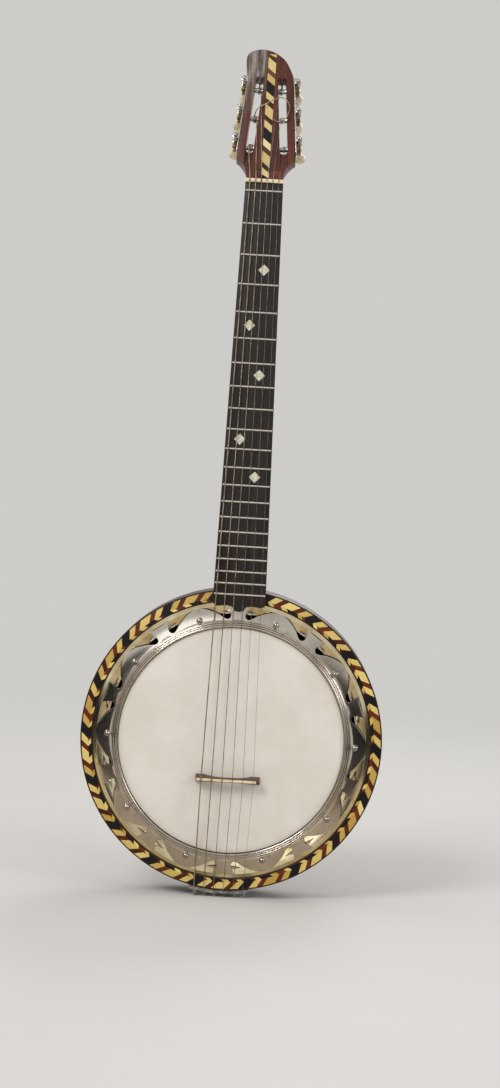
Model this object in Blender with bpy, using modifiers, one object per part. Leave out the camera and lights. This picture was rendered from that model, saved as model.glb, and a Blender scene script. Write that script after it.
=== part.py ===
"""Six-string banjo with a wooden resonator, modelled piece by piece.

Sizes are in metres. +Z runs up the neck and the strings are on the -Y side.
The origin is the lowest point of the resonator's rim, at the middle of its depth.
"""
import math

import bmesh
import bpy
from mathutils import Matrix, Vector

# Driving dimensions of the body. Heights are measured forwards from the middle of the rim.
RIM_RADIUS = 0.1695
RIM_FRONT = 0.0350
RIM_BACK = -0.0300
RIM_WALL = 0.0090
BAND_INNER = 0.1574
BAND_OUTER = 0.1679
PLATE_FRONT = 0.0380
PLATE_BACK = 0.0360
BOLT_CIRCLE = 0.1390
BOLT_COUNT = 10
HOOP_INNER = 0.1267
HEAD_FRONT = 0.0385
HEAD_THICKNESS = 0.0004
POT_OUTER = 0.1250
POT_INNER = 0.1175
DOWEL_SIDE = 0.0200

# Driving dimensions of the neck. The neck frame starts at the zero fret, on the fingerboard.
SCALE_LENGTH = 0.660
FRET_COUNT = 20
BRIDGE_BELOW_CENTRE = 0.0435
NECK_ANGLE = math.radians(2.0)
HEADSTOCK_ANGLE = math.radians(18.0)
ZERO_FRET_FRONT = 0.0271
ZERO_FRET_HEIGHT = RIM_RADIUS - BRIDGE_BELOW_CENTRE + SCALE_LENGTH * math.cos(NECK_ANGLE)
BOARD_THICKNESS = 0.0050
BOARD_HALF_AT_ZERO = 0.0213
BOARD_HALF_AT_LAST = 0.0294
FRET_HEIGHT = 0.0011
NUT_START = 0.0093
NUT_THICKNESS = 0.0040
HEADSTOCK_THICKNESS = 0.0170
HEADSTOCK_DROP = 0.0035

# Tuning machines, three on each side of the headstock
POST_ALONG = (0.0432, 0.0797, 0.1162)
POST_DEPTH = 0.0080
POST_RADIUS = 0.0032
SIDE_SLOPE = 0.0769
SIDE_HALF_WIDTH = 0.0326
SIDE_START = 0.0340
SIDE_END = 0.1310
SLOT_FROM_SIDE = 0.0131
SLOT_WIDTH = 0.0090
TONGUE_START = 0.1216
TONGUE_HALF_WIDTH = 0.0009
GEAR_RADIUS = 0.0063
GEAR_TEETH = 14
WORM_RADIUS = 0.0033
WORM_ABOVE_POST = 0.0100
WORM_OUTBOARD = 0.0050
SHAFT_RADIUS = 0.0020
TUNER_PLATE_THICKNESS = 0.0012

# Strings, from the bass side on the left to the treble side on the right
STRING_RADII = (0.00067, 0.00053, 0.00041, 0.00030, 0.00020, 0.00016)
NUT_SPACING = 0.0065
BRIDGE_SPACING = 0.0117
TAIL_SPACING = 0.0110
BRIDGE_OFFSET = -0.0012
TAIL_OFFSET = -0.0045
SADDLE_TOP = HEAD_FRONT + 0.0163

GAP = 0.0003
RING_STEPS = 48

PARTS = "six_string_banjo"
CUTTERS = "cutters"


def clear_scene():
    """Take away whatever the new file starts with, and make the two collections."""
    for leftover in list(bpy.data.objects):
        bpy.data.objects.remove(leftover, do_unlink=True)
    for name in (PARTS, CUTTERS):
        bpy.context.scene.collection.children.link(bpy.data.collections.new(name))


def make_material(name, colour, roughness, metallic=0.0):
    """Return a Principled material in one colour."""
    material = bpy.data.materials.new(name)
    material.use_nodes = True
    shader = material.node_tree.nodes["Principled BSDF"]
    shader.inputs["Base Color"].default_value = (*colour, 1.0)
    shader.inputs["Roughness"].default_value = roughness
    shader.inputs["Metallic"].default_value = metallic
    material.diffuse_color = (*colour, 1.0)
    return material


def make_frame(name, location, tilt, parent=None):
    """Return an empty whose X is to the right, Y up along the piece and Z out of its front."""
    frame = bpy.data.objects.new(name, None)
    frame.empty_display_size = 0.02
    frame.location = location
    frame.rotation_euler = (tilt, 0.0, 0.0)
    frame.parent = parent
    bpy.data.collections[PARTS].objects.link(frame)
    bpy.context.view_layer.update()
    return frame


def place(obj, frame, material=None, cutter=False):
    """Link an object under a frame, as a part or as a hidden cutter."""
    bpy.data.collections[CUTTERS if cutter else PARTS].objects.link(obj)
    obj.parent = frame
    if cutter:
        obj.display_type = "WIRE"
        obj.hide_render = True
    if material is not None:
        obj.data.materials.append(material)
    return obj


def shade_round(obj, degrees=35.0):
    """Shade a round piece smooth, with its edges kept sharp."""
    obj.data.shade_smooth()
    obj.data.set_sharp_from_angle(angle=math.radians(degrees))


def mesh_object(name, bm):
    """Turn a bmesh into an object."""
    mesh = bpy.data.meshes.new(name)
    bm.to_mesh(mesh)
    bm.free()
    return bpy.data.objects.new(name, mesh)


def box(name, low, high):
    """Return a block between two corners."""
    bm = bmesh.new()
    bmesh.ops.create_cube(bm, size=1.0)
    size = [b - a for a, b in zip(low, high)]
    centre = [(a + b) / 2 for a, b in zip(low, high)]
    bmesh.ops.scale(bm, vec=size, verts=bm.verts)
    bmesh.ops.translate(bm, vec=centre, verts=bm.verts)
    return mesh_object(name, bm)


def cylinder(name, radius, start, end, segments=12):
    """Return a round bar between two points."""
    start = Vector(start)
    end = Vector(end)
    along = end - start
    turn = Vector((0.0, 0.0, 1.0)).rotation_difference(along).to_matrix().to_4x4()
    bm = bmesh.new()
    bmesh.ops.create_cone(bm, cap_ends=True, segments=segments, radius1=radius,
                          radius2=radius, depth=along.length,
                          matrix=Matrix.Translation((start + end) / 2) @ turn)
    return mesh_object(name, bm)


def turned(name, profile, steps=RING_STEPS):
    """Return a turned piece: a closed profile of (radius, height) swept round Z."""
    mesh = bpy.data.meshes.new(name)
    last = len(profile)
    closes = profile[0][0] > 0.0
    edges = [(i, (i + 1) % last) for i in range(last if closes else last - 1)]
    mesh.from_pydata([(radius, 0.0, height) for radius, height in profile], edges, [])
    obj = bpy.data.objects.new(name, mesh)
    screw = obj.modifiers.new("Turn", "SCREW")
    screw.axis = "Z"
    screw.angle = math.tau
    screw.steps = steps
    screw.render_steps = steps
    screw.use_merge_vertices = True
    screw.merge_threshold = 0.00001
    screw.use_smooth_shade = True
    return obj


def flat_piece(name, outlines, low, high):
    """Return a flat piece as a mesh: outlines of (x, y), between two heights."""
    curve = bpy.data.curves.new(name, "CURVE")
    curve.dimensions = "2D"
    curve.fill_mode = "BOTH"
    curve.extrude = (high - low) / 2
    for outline in outlines:
        spline = curve.splines.new("POLY")
        spline.points.add(len(outline) - 1)
        for point, (x, y) in zip(spline.points, outline):
            point.co = (x, y, 0.0, 1.0)
        spline.use_cyclic_u = True
    return curve_to_mesh(name, curve, Matrix.Translation((0.0, 0.0, (low + high) / 2)))


def curve_to_mesh(name, curve, move):
    """Turn a curve into a welded, closed mesh object, moved by a matrix."""
    holder = bpy.data.objects.new(name + "_curve", curve)
    bpy.context.scene.collection.objects.link(holder)
    evaluated = holder.evaluated_get(bpy.context.evaluated_depsgraph_get())
    mesh = bpy.data.meshes.new_from_object(evaluated)
    bm = bmesh.new()
    bm.from_mesh(mesh)
    bmesh.ops.remove_doubles(bm, verts=bm.verts, dist=0.00001)
    bmesh.ops.transform(bm, matrix=move, verts=bm.verts)
    bmesh.ops.recalc_face_normals(bm, faces=bm.faces)
    bm.to_mesh(mesh)
    bm.free()
    bpy.data.objects.remove(holder, do_unlink=True)
    mesh.name = name
    return bpy.data.objects.new(name, mesh)


def combine(obj, other, operation):
    """Cut a piece with another object, or join the two into one body."""
    boolean = obj.modifiers.new(other.name, "BOOLEAN")
    boolean.operation = operation
    boolean.solver = "EXACT"
    boolean.object = other
    return obj


def circle(radius, count, centre=(0.0, 0.0), start=0.0):
    """Return the points of a circle, the first one at a start angle from the right."""
    turns = [start + math.tau * i / count for i in range(count)]
    return [(centre[0] + radius * math.cos(t), centre[1] + radius * math.sin(t)) for t in turns]


def polar(degrees_from_up, radius):
    """Return a point of the body's front, by its angle clockwise from the neck."""
    angle = math.radians(degrees_from_up)
    return (radius * math.sin(angle), radius * math.cos(angle))


def through(points, steps):
    """Return a smooth run through the points (Catmull-Rom), with steps to each span."""
    ends = [points[0]] + list(points) + [points[-1]]
    run = []
    for a, b, c, d in zip(ends, ends[1:], ends[2:], ends[3:]):
        for i in range(steps):
            t = i / steps
            run.append(tuple(0.5 * (2 * q + (r - p) * t + (2 * p - 5 * q + 4 * r - s) * t ** 2
                                    + (3 * q - p - 3 * r + s) * t ** 3)
                             for p, q, r, s in zip(a, b, c, d)))
    run.append(tuple(points[-1]))
    return run


def bolt_angles():
    """Return the ten bolts' angles from the neck, in degrees."""
    pitch = 360.0 / BOLT_COUNT
    return [pitch * (i + 0.5) for i in range(BOLT_COUNT)]


def build_resonator(pot, wood, inlay):
    """The back, the rim with its rebate and ledge, and the marquetry band in the rebate."""
    flat_radius = 0.060
    edge_radius = RIM_RADIUS - 0.0010
    arch = 0.0040
    thickness = 0.0042
    inner_edge = RIM_BACK - GAP
    outside = [(0.0, inner_edge - arch), (flat_radius, inner_edge - arch),
               (0.112, inner_edge - arch * 0.66), (edge_radius, inner_edge)]
    profile = outside + [(radius, height - thickness) for radius, height in reversed(outside)]
    back = turned("resonator_back", profile)
    place(back, pot, wood)

    outer = RIM_RADIUS
    inner = RIM_RADIUS - RIM_WALL
    ledge_inner = 0.1500
    ledge_front = 0.0322
    lip_inner = 0.1562
    rebate_floor = 0.0330
    profile = [(outer, RIM_FRONT - 0.0008), (outer, RIM_BACK), (inner, RIM_BACK),
               (inner, 0.0262), (ledge_inner, 0.0262), (ledge_inner, ledge_front),
               (lip_inner, ledge_front), (lip_inner, RIM_FRONT),
               (BAND_INNER - GAP, RIM_FRONT), (BAND_INNER - GAP, rebate_floor),
               (BAND_OUTER + GAP, rebate_floor), (BAND_OUTER + GAP, RIM_FRONT),
               (outer - 0.0008, RIM_FRONT)]
    rim = turned("resonator_rim", profile)
    place(rim, pot, wood)
    half = DOWEL_SIDE / 2 + GAP
    opening = box("rim_dowel_opening", (-half, 0.140, -half), (half, 0.180, half))
    combine(rim, place(opening, pot, cutter=True), "DIFFERENCE")
    screw_hole = cylinder("rim_screw_hole", 0.0028, (0.0, -0.150, 0.0), (0.0, -0.180, 0.0))
    combine(rim, place(screw_hole, pot, cutter=True), "DIFFERENCE")

    floor = rebate_floor + GAP
    face = RIM_FRONT + 0.0002
    band = turned("marquetry_band", [(BAND_OUTER, face), (BAND_OUTER, floor),
                                     (BAND_INNER, floor), (BAND_INNER, face)])
    place(band, pot, inlay)


def build_pot(pot, wood, brass, steel, skin):
    """The hidden pot with its rings, and the head stretched over them."""
    under = turned("under_ring", [(0.1559, 0.0343), (0.1559, 0.0325),
                                  (0.1430, 0.0325), (0.1430, 0.0343)])
    place(under, pot, brass)

    shell = turned("pot_shell", [(POT_OUTER, 0.0345), (POT_OUTER, -0.0200),
                                 (POT_INNER, -0.0200), (POT_INNER, 0.0345)])
    place(shell, pot, wood)
    half = DOWEL_SIDE / 2 + GAP
    opening = box("pot_dowel_opening", (-half, -0.140, -half), (half, 0.140, half))
    combine(shell, place(opening, pot, cutter=True), "DIFFERENCE")

    ring = turned("tone_ring", [(0.1240, 0.0378), (POT_OUTER, 0.0368), (POT_OUTER, 0.0348),
                                (0.1205, 0.0348), (0.1205, 0.0368), (0.1215, 0.0378)])
    place(ring, pot, brass)

    skirt = POT_OUTER + 0.0012
    bottom = 0.0310
    back = HEAD_FRONT - HEAD_THICKNESS
    profile = [(0.0, HEAD_FRONT), (0.1244, HEAD_FRONT), (0.1257, HEAD_FRONT - 0.0005),
               (skirt, HEAD_FRONT - 0.0016), (skirt, bottom),
               (skirt - HEAD_THICKNESS, bottom), (skirt - HEAD_THICKNESS, 0.0368),
               (0.1253, 0.0378), (0.1242, back), (0.0, back)]
    head = turned("head", profile)
    place(head, pot, skin)

    hoop = turned("flesh_hoop", [(0.1300, 0.0346), (0.1300, 0.0312),
                                 (0.1266, 0.0312), (0.1266, 0.0346)])
    place(hoop, pot, steel)


def build_lug_ring(pot, iron):
    """The bracket ring round the pot, with a drilled boss behind each bolt."""
    band_outer = 0.1325
    boss_outer = 0.1452
    outline = []
    for angle in bolt_angles():
        for offset, radius in ((-9.0, band_outer), (-3.6, 0.1350), (-2.2, 0.1425), (0.0, boss_outer),
                               (2.2, 0.1425), (3.6, 0.1350), (9.0, band_outer)):
            outline.append(polar(angle + offset, radius))
    holes = [circle(0.0026, 8, polar(angle, BOLT_CIRCLE), start=0.27) for angle in bolt_angles()]
    inner = circle(POT_OUTER + 0.0004, RING_STEPS)
    place(flat_piece("lug_ring", [outline, inner] + holes, 0.0120, 0.0260), pot, iron)


def plate_outline():
    """Outline of the scalloped plate: a lobe at each bolt, a fishtail tab between bolts."""
    half_motif = [(0.0, 0.1505), (4.9, 0.1526), (4.0, 0.1470), (3.2, 0.1420), (3.7, 0.1380),
                  (5.0, 0.1367), (6.6, 0.1385), (8.6, 0.1424), (11.2, 0.1462), (14.5, 0.1503),
                  (18.0, 0.1519)]
    mirrored = [(36.0 - angle, radius) for angle, radius in reversed(half_motif[1:-1])]
    outline = []
    for i in range(BOLT_COUNT):
        for angle, radius in half_motif + mirrored:
            outline.append(polar(36.0 * i + angle, radius))
    return outline


def build_tension_plate(pot, nickel):
    """The hoop with its three steps and the scalloped plate, one piece of plated metal."""
    holes = [circle(0.0026, 8, polar(angle, BOLT_CIRCLE), start=0.27) for angle in bolt_angles()]
    inner = circle(0.1332, RING_STEPS)
    plate = flat_piece("tension_plate", [plate_outline(), inner] + holes, PLATE_BACK, PLATE_FRONT)
    place(plate, pot, nickel)
    hoop = turned("tension_hoop", [(0.1350, 0.0385), (0.1350, 0.0352), (HOOP_INNER, 0.0352),
                                   (HOOP_INNER, 0.0405), (0.1273, 0.0412), (0.1291, 0.0412),
                                   (0.1296, 0.0401), (0.1316, 0.0401), (0.1321, 0.0392),
                                   (0.1342, 0.0392)])
    combine(plate, place(hoop, pot, cutter=True), "UNION")


def build_bolts(pot, nickel):
    """Ten bolts that draw the tension plate back towards the lug ring."""
    head_radius = 0.0036
    shank_radius = 0.0021
    seat = PLATE_FRONT + GAP
    profile = [(0.0, seat + 0.0046), (head_radius * 0.7, seat + 0.0040),
               (head_radius, seat + 0.0026), (head_radius, seat), (shank_radius, seat),
               (shank_radius, 0.0100), (0.0, 0.0100)]
    for number, angle in enumerate(bolt_angles(), start=1):
        bolt = turned("tension_bolt_%02d" % number, profile, steps=10)
        x, y = polar(angle, BOLT_CIRCLE)
        bolt.location = (x, y, 0.0)
        place(bolt, pot, nickel)


def build_dowel(pot, wood):
    """The square stick that ties the neck, the pot and the bottom of the rim together."""
    half = DOWEL_SIDE / 2
    stick = box("dowel_stick", (-half, -0.1596, -half), (half, 0.1691, half))
    place(stick, pot, wood)
    bore = cylinder("dowel_screw_hole", 0.0028, (0.0, -0.140, 0.0), (0.0, -0.170, 0.0))
    combine(stick, place(bore, pot, cutter=True), "DIFFERENCE")


def arc_strip(inner, outer, half_angle, centre_angle, count):
    """Return the outline of a strip bent round the body's centre."""
    angles = [centre_angle - half_angle + 2 * half_angle * i / count for i in range(count + 1)]
    outside = [polar(angle, outer) for angle in angles]
    inside = [polar(angle, inner) for angle in reversed(angles)]
    return outside + inside


def build_tailpiece(pot, nickel, steel):
    """The bent plate on the bottom of the rim, its thick front lip and six string hooks."""
    centre = 181.4
    half_angle = 11.5
    inner = RIM_RADIUS + GAP
    strap = arc_strip(inner, inner + 0.0016, half_angle, centre, 8)
    tailpiece = flat_piece("tailpiece", [strap], -0.0120, 0.0340)
    place(tailpiece, pot, nickel)
    lip_outline = arc_strip(inner + 0.0006, inner + 0.0040, half_angle - 0.2, centre, 8)
    lip = flat_piece("tailpiece_lip", [lip_outline], 0.0315, 0.0352)
    combine(tailpiece, place(lip, pot, cutter=True), "UNION")
    for number in range(6):
        x = TAIL_OFFSET + (number - 2.5) * TAIL_SPACING + 0.0018
        hook = cylinder("tailpiece_hook_%d" % (number + 1), 0.0008, (x, -0.1712, 0.0334),
                        (x, -0.1772, 0.0334), segments=8)
        combine(tailpiece, place(hook, pot, cutter=True), "UNION")
    hole = cylinder("tailpiece_screw_hole", 0.0028, (0.0, -0.160, 0.0), (0.0, -0.180, 0.0))
    combine(tailpiece, place(hole, pot, cutter=True), "DIFFERENCE")

    head_seat = inner + 0.0016 + GAP
    profile = [(0.0, 0.0030), (0.0030, 0.0024), (0.0045, 0.0006), (0.0045, 0.0),
               (0.0023, 0.0), (0.0023, -0.0240), (0.0, -0.0240)]
    screw = turned("tailpiece_screw", profile, steps=12)
    screw.location = (0.0, -head_seat, 0.0)
    screw.rotation_euler = (math.radians(90.0), 0.0, 0.0)
    place(screw, pot, steel)


def build_bridge(pot, wood, bone):
    """The movable bridge: a dark body on two feet and the pale saddle strip on its top."""
    centre_y = -BRIDGE_BELOW_CENTRE
    half_length = 0.0360
    foot = HEAD_FRONT + GAP
    body_top = SADDLE_TOP - 0.0022
    arch_half = 0.0200
    arch_rise = 0.0085
    arch = [(arch_half * math.cos(math.pi * i / 10), foot + arch_rise * math.sin(math.pi * i / 10))
            for i in range(11)]
    outline = [(half_length, foot), (half_length - 0.0006, body_top),
               (-half_length + 0.0006, body_top), (-half_length, foot)]
    outline += [(x, height) for x, height in reversed(arch)]
    body = flat_piece("bridge", [outline], -0.0021, 0.0021)
    stand = (math.radians(90.0), 0.0, 0.0)
    body.rotation_euler = stand
    body.location = (BRIDGE_OFFSET, centre_y, 0.0)
    place(body, pot, wood)

    saddle = box("bridge_saddle", (-half_length + 0.0012, -0.0013, body_top + GAP),
                 (half_length - 0.0012, 0.0013, SADDLE_TOP))
    saddle.location = (BRIDGE_OFFSET, centre_y, 0.0)
    place(saddle, pot, bone)


def section(matrix, along, half_width, top, depth, fullness, count=12):
    """Return one cross-section of the neck: flat in front, rounded behind."""
    ring = []
    for i in range(count + 1):
        t = math.pi * i / count
        wide = math.copysign(abs(math.cos(t)) ** (2.0 / fullness), math.cos(t))
        deep = abs(math.sin(t)) ** (2.0 / fullness)
        ring.append(matrix @ Vector((half_width * wide, along, top - depth * deep)))
    return ring


def board_half_width(along):
    """Half the fingerboard's width, at a distance up the neck from the zero fret."""
    last_fret = -SCALE_LENGTH * (1 - 2 ** (-FRET_COUNT / 12))
    share = along / last_fret
    return BOARD_HALF_AT_ZERO + (BOARD_HALF_AT_LAST - BOARD_HALF_AT_ZERO) * share


def loft(name, rings):
    """Return a closed skin over a row of like cross-sections."""
    bm = bmesh.new()
    rows = [[bm.verts.new(point) for point in ring] for ring in rings]
    for lower, upper in zip(rows, rows[1:]):
        for i in range(len(lower)):
            j = (i + 1) % len(lower)
            bm.faces.new((lower[i], lower[j], upper[j], upper[i]))
    bm.faces.new(rows[0])
    bm.faces.new(rows[-1])
    bmesh.ops.recalc_face_normals(bm, faces=bm.faces)
    return mesh_object(name, bm)


def build_neck(pot, neck, head, wood):
    """The neck and its heel, from the start of the headstock down to the rim."""
    top = -BOARD_THICKNESS - GAP
    plain = Matrix.Identity(4)
    stations = [(-0.4615, 0.0600, 1.8), (-0.4500, 0.0590, 1.8), (-0.4400, 0.0520, 1.8),
                (-0.4300, 0.0410, 1.9), (-0.4180, 0.0310, 2.0), (-0.4020, 0.0245, 2.1),
                (-0.3800, 0.0215, 2.2), (-0.3400, 0.0202, 2.2), (-0.2200, 0.0186, 2.2),
                (-0.1000, 0.0172, 2.2), (-0.0200, 0.0162, 2.2), (0.0040, 0.0162, 2.3)]
    rings = [section(plain, along, board_half_width(along) - 0.0002, top, depth, fullness)
             for along, depth, fullness in stations]
    rings.append(section(plain, NUT_START + NUT_THICKNESS, 0.0210, top, 0.0158, 2.4))
    tilt = Matrix.Translation(head.location) @ Matrix.Rotation(-HEADSTOCK_ANGLE, 4, "X")
    rings.append(section(tilt, 0.0010, 0.0210, 0.0, 0.0176, 2.8))
    rings.append(section(tilt, 0.0060, 0.0213, 0.0, 0.0172, 4.0))
    rings.append(section(tilt, 0.0117, 0.0222, 0.0, HEADSTOCK_THICKNESS, 9.0))
    obj = loft("neck", rings)
    place(obj, neck, wood)
    joint_radius = RIM_RADIUS + GAP
    body = turned("neck_end_cutter", [(joint_radius, RIM_FRONT + 0.0005), (joint_radius, -0.080),
                                      (0.050, -0.080), (0.050, RIM_FRONT + 0.0005)])
    combine(obj, place(body, pot, cutter=True), "DIFFERENCE")
    groove = box("neck_inlay_groove", (-0.0048, 0.0010, -0.0018), (0.0048, 0.020, 0.010))
    combine(obj, place(groove, head, cutter=True), "DIFFERENCE")


def build_fingerboard(neck, wood, bone):
    """The fingerboard with its ogee end and seated frets, and the nut above it."""
    end = [(0.0296, -0.4620), (0.0210, -0.4655), (0.0100, -0.4645), (0.0068, -0.4670),
           (0.0055, -0.4700), (0.0, -0.4715)]
    left_end = [(-x, y) for x, y in reversed(end[:-1])]
    top_y = NUT_START - GAP
    half_top = board_half_width(top_y)
    outline = [(half_top, top_y)] + end + left_end + [(-half_top, top_y)]
    board = flat_piece("fingerboard", [outline], -BOARD_THICKNESS, 0.0)
    place(board, neck, wood)
    for number in range(FRET_COUNT + 1):
        along = -SCALE_LENGTH * (1 - 2 ** (-number / 12))
        half = board_half_width(along) - 0.0008
        wire = box("fret_wire_%02d" % number, (-half, along - 0.0011, -0.0010),
                   (half, along + 0.0011, FRET_HEIGHT))
        combine(board, place(wire, neck, cutter=True), "UNION")

    nut_half = board_half_width(NUT_START)
    base = -BOARD_THICKNESS
    notch_floor = 0.0008
    height = 0.0022
    outline = [(nut_half, base), (nut_half, height - 0.0004)]
    for number in range(6):
        x = (2.5 - number) * NUT_SPACING
        notch = 0.0011
        outline += [(x + notch, height), (x + notch, notch_floor), (x - notch, notch_floor),
                    (x - notch, height)]
    outline += [(-nut_half, height - 0.0004), (-nut_half, base)]
    nut = flat_piece("nut", [outline], -NUT_THICKNESS / 2, NUT_THICKNESS / 2)
    nut.rotation_euler = (math.radians(90.0), 0.0, 0.0)
    nut.location = (0.0, NUT_START + NUT_THICKNESS / 2, 0.0)
    place(nut, neck, bone)


def side_half_width(along):
    """Half the headstock's width where its sides are straight."""
    return SIDE_HALF_WIDTH - SIDE_SLOPE * (along - SIDE_START)


def headstock_outline():
    """Outline of the headstock, with its shoulders and lopsided scrolled top."""
    start = 0.0120
    shoulder_end = 0.0258
    shoulder = through([(0.0222, start), (0.0232, 0.0145), (0.0260, 0.0188), (0.0298, 0.0232),
                        (side_half_width(shoulder_end), shoulder_end)], 3)
    top = through([(side_half_width(SIDE_END), SIDE_END), (0.0214, 0.1400), (0.0151, 0.1512),
                   (0.0056, 0.1592), (-0.0037, 0.1632), (-0.0130, 0.1642), (-0.0238, 0.1608),
                   (-0.0290, 0.1535), (-0.0288, 0.1420), (-0.0268, 0.1345),
                   (-side_half_width(SIDE_END), SIDE_END)], 2)
    left = [(-x, y) for x, y in reversed(shoulder)]
    return shoulder + top + left


def build_headstock(head, wood, inlay):
    """The slotted headstock: slots with a ramp below and a tongue above, post holes, inlay groove."""
    headstock = flat_piece("headstock", [headstock_outline()], -HEADSTOCK_THICKNESS, 0.0)
    place(headstock, head, wood)
    slope = math.atan(SIDE_SLOPE)
    slot_start = 0.0350
    slot_end = 0.1290
    for side, word in ((1, "right"), (-1, "left")):
        middle = (slot_start + slot_end) / 2
        half = (slot_end - slot_start) / 2
        centre_x = side * (side_half_width(middle) - SLOT_FROM_SIDE)
        radius = SLOT_WIDTH / 2
        arc = [math.pi * i / 6 for i in range(7)]
        bottom = [(-radius * math.cos(t), -half + radius - radius * math.sin(t)) for t in arc]
        groove_radius = (radius - TONGUE_HALF_WIDTH) / 2
        groove_x = radius - groove_radius
        tongue_tip = TONGUE_START - middle
        top = [(groove_x + groove_radius * math.cos(t), half - groove_radius + groove_radius * math.sin(t))
               for t in arc]
        top.append((TONGUE_HALF_WIDTH, tongue_tip))
        outline = top + [(-x, y) for x, y in reversed(top)] + bottom
        slot = flat_piece("slot_" + word, [outline], -0.030, 0.010)
        slot.location = (centre_x, middle, 0.0)
        slot.rotation_euler = (0.0, 0.0, side * slope)
        combine(headstock, place(slot, head, cutter=True), "DIFFERENCE")
        ramp = box("ramp_" + word, (-radius + 0.0002, -0.0260, 0.0), (radius - 0.0002, 0.0260, 0.0200))
        ramp_y = slot_start + 0.0020
        ramp.location = (side * (side_half_width(ramp_y) - SLOT_FROM_SIDE), ramp_y, -0.0062)
        ramp.rotation_euler = (math.radians(-15.0), 0.0, side * slope)
        combine(headstock, place(ramp, head, cutter=True), "DIFFERENCE")
    groove = box("headstock_inlay_groove", (-0.0048, 0.0, -0.0018), (0.0048, 0.1590, 0.010))
    combine(headstock, place(groove, head, cutter=True), "DIFFERENCE")

    strip = box("headstock_inlay", (-0.00445, 0.0014, -0.0015), (0.00445, 0.1586, 0.0002))
    place(strip, head, inlay)
    return headstock


def tuner_frame(head, side, number):
    """Return the frame of one machine: X out of the side, Y up along it, at the post's axis."""
    along = POST_ALONG[number]
    frame = bpy.data.objects.new("machine_%s_%d" % ("right" if side > 0 else "left", number + 1), None)
    frame.empty_display_size = 0.01
    frame.location = (side * side_half_width(along), along, -POST_DEPTH)
    slope = math.atan(SIDE_SLOPE)
    flip = 0.0 if side > 0 else math.pi
    frame.rotation_euler = (0.0, flip, side * slope)
    frame.parent = head
    bpy.data.collections[PARTS].objects.link(frame)
    bpy.context.view_layer.update()
    return frame


def build_tuner_plate(frame, side, nickel):
    """One side plate with its six bearing ears, in the frame of its middle machine."""
    word = "right" if side > 0 else "left"
    spacing = (POST_ALONG[1] - POST_ALONG[0]) / math.cos(math.atan(SIDE_SLOPE))
    low = -spacing - 0.0090
    high = spacing + WORM_ABOVE_POST + 0.0045
    inner = GAP
    outer = GAP + TUNER_PLATE_THICKNESS
    plate = box("tuner_plate_" + word, (inner, low, -0.0078), (outer, high, 0.0078))
    place(plate, frame, nickel)
    ear_out = WORM_OUTBOARD + 0.0034
    for number in range(3):
        post_y = (number - 1) * spacing
        worm_y = post_y + WORM_ABOVE_POST
        for name, depth in (("front", 0.0066), ("back", -0.0066)):
            ear = box("ear_%s_%d_%s" % (word, number + 1, name), (outer - 0.0004, worm_y - 0.0034,
                      depth - 0.0009), (ear_out, worm_y + 0.0034, depth + 0.0009))
            combine(plate, place(ear, frame, cutter=True), "UNION")
        post_hole = cylinder("plate_post_hole_%s_%d" % (word, number + 1), POST_RADIUS + GAP,
                             (-0.001, post_y, 0.0), (0.004, post_y, 0.0))
        combine(plate, place(post_hole, frame, cutter=True), "DIFFERENCE")
        shaft_hole = cylinder("plate_shaft_hole_%s_%d" % (word, number + 1), SHAFT_RADIUS + GAP,
                              (WORM_OUTBOARD, worm_y, -0.010), (WORM_OUTBOARD, worm_y, 0.010))
        combine(plate, place(shaft_hole, frame, cutter=True), "DIFFERENCE")


def build_machine(frame, side, number, headstock, steel, brass, ivory):
    """One tuning machine: the worm shaft and its button, the string post and its gear."""
    label = "%s_%d" % ("right" if side > 0 else "left", number)
    upright = (0.0, 0.0 if side > 0 else math.pi, 0.0)

    worm_half = 0.0053
    collar = 0.0080
    front_end = 0.0106
    back_end = -0.0300
    profile = [(0.0, front_end), (0.0018, front_end - 0.0004), (0.0024, front_end - 0.0013),
               (0.0024, collar), (SHAFT_RADIUS, collar), (SHAFT_RADIUS, worm_half),
               (WORM_RADIUS, worm_half), (WORM_RADIUS, -worm_half), (SHAFT_RADIUS, -worm_half),
               (SHAFT_RADIUS, back_end), (0.0, back_end)]
    shaft = turned("worm_shaft_" + label, profile, steps=10)
    shaft.location = (WORM_OUTBOARD, WORM_ABOVE_POST, 0.0)
    shaft.rotation_euler = upright
    place(shaft, frame, steel)

    start = back_end - GAP
    length = 0.0185
    half_wide = 0.0080
    outline = [(0.0, start), (0.0028, start), (0.0036, start - 0.0030)]
    for i in range(1, 7):
        t = math.pi * i / 7
        outline.append((half_wide * math.sin(t) ** 0.8,
                        start - 0.0010 - (length - 0.0010) * (1 - math.cos(t)) / 2))
    outline.append((0.0, start - length))
    outline.pop(3)
    button = turned("button_" + label, outline, steps=12)
    button.scale = (1.0, 0.6, 1.0)
    button.location = shaft.location
    button.rotation_euler = upright
    place(button, frame, ivory)

    tip = -0.0235
    shoulder = 0.0021
    outer = 0.0061
    profile = [(0.0, outer + 0.0012), (0.0026, outer + 0.0010), (0.0026, outer - 0.0004),
               (POST_RADIUS, outer - 0.0004), (POST_RADIUS, tip), (0.0, tip)]
    post = turned("string_post_" + label, profile, steps=12)
    post.rotation_euler = (0.0, math.radians(90.0), 0.0)
    place(post, frame, steel)
    teeth = []
    for i in range(GEAR_TEETH * 2):
        reach = GEAR_RADIUS if i % 2 == 0 else GEAR_RADIUS - 0.0013
        t = math.tau * i / (GEAR_TEETH * 2)
        teeth.append((reach * math.cos(t), reach * math.sin(t)))
    gear = flat_piece("gear_" + label, [teeth], shoulder, outer)
    gear.rotation_euler = (0.0, math.radians(90.0), 0.0)
    combine(post, place(gear, frame, cutter=True), "UNION")

    hole = cylinder("post_hole_" + label, POST_RADIUS + GAP, (0.005, 0.0, 0.0),
                    (tip - GAP, 0.0, 0.0))
    combine(headstock, place(hole, frame, cutter=True), "DIFFERENCE")


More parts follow.
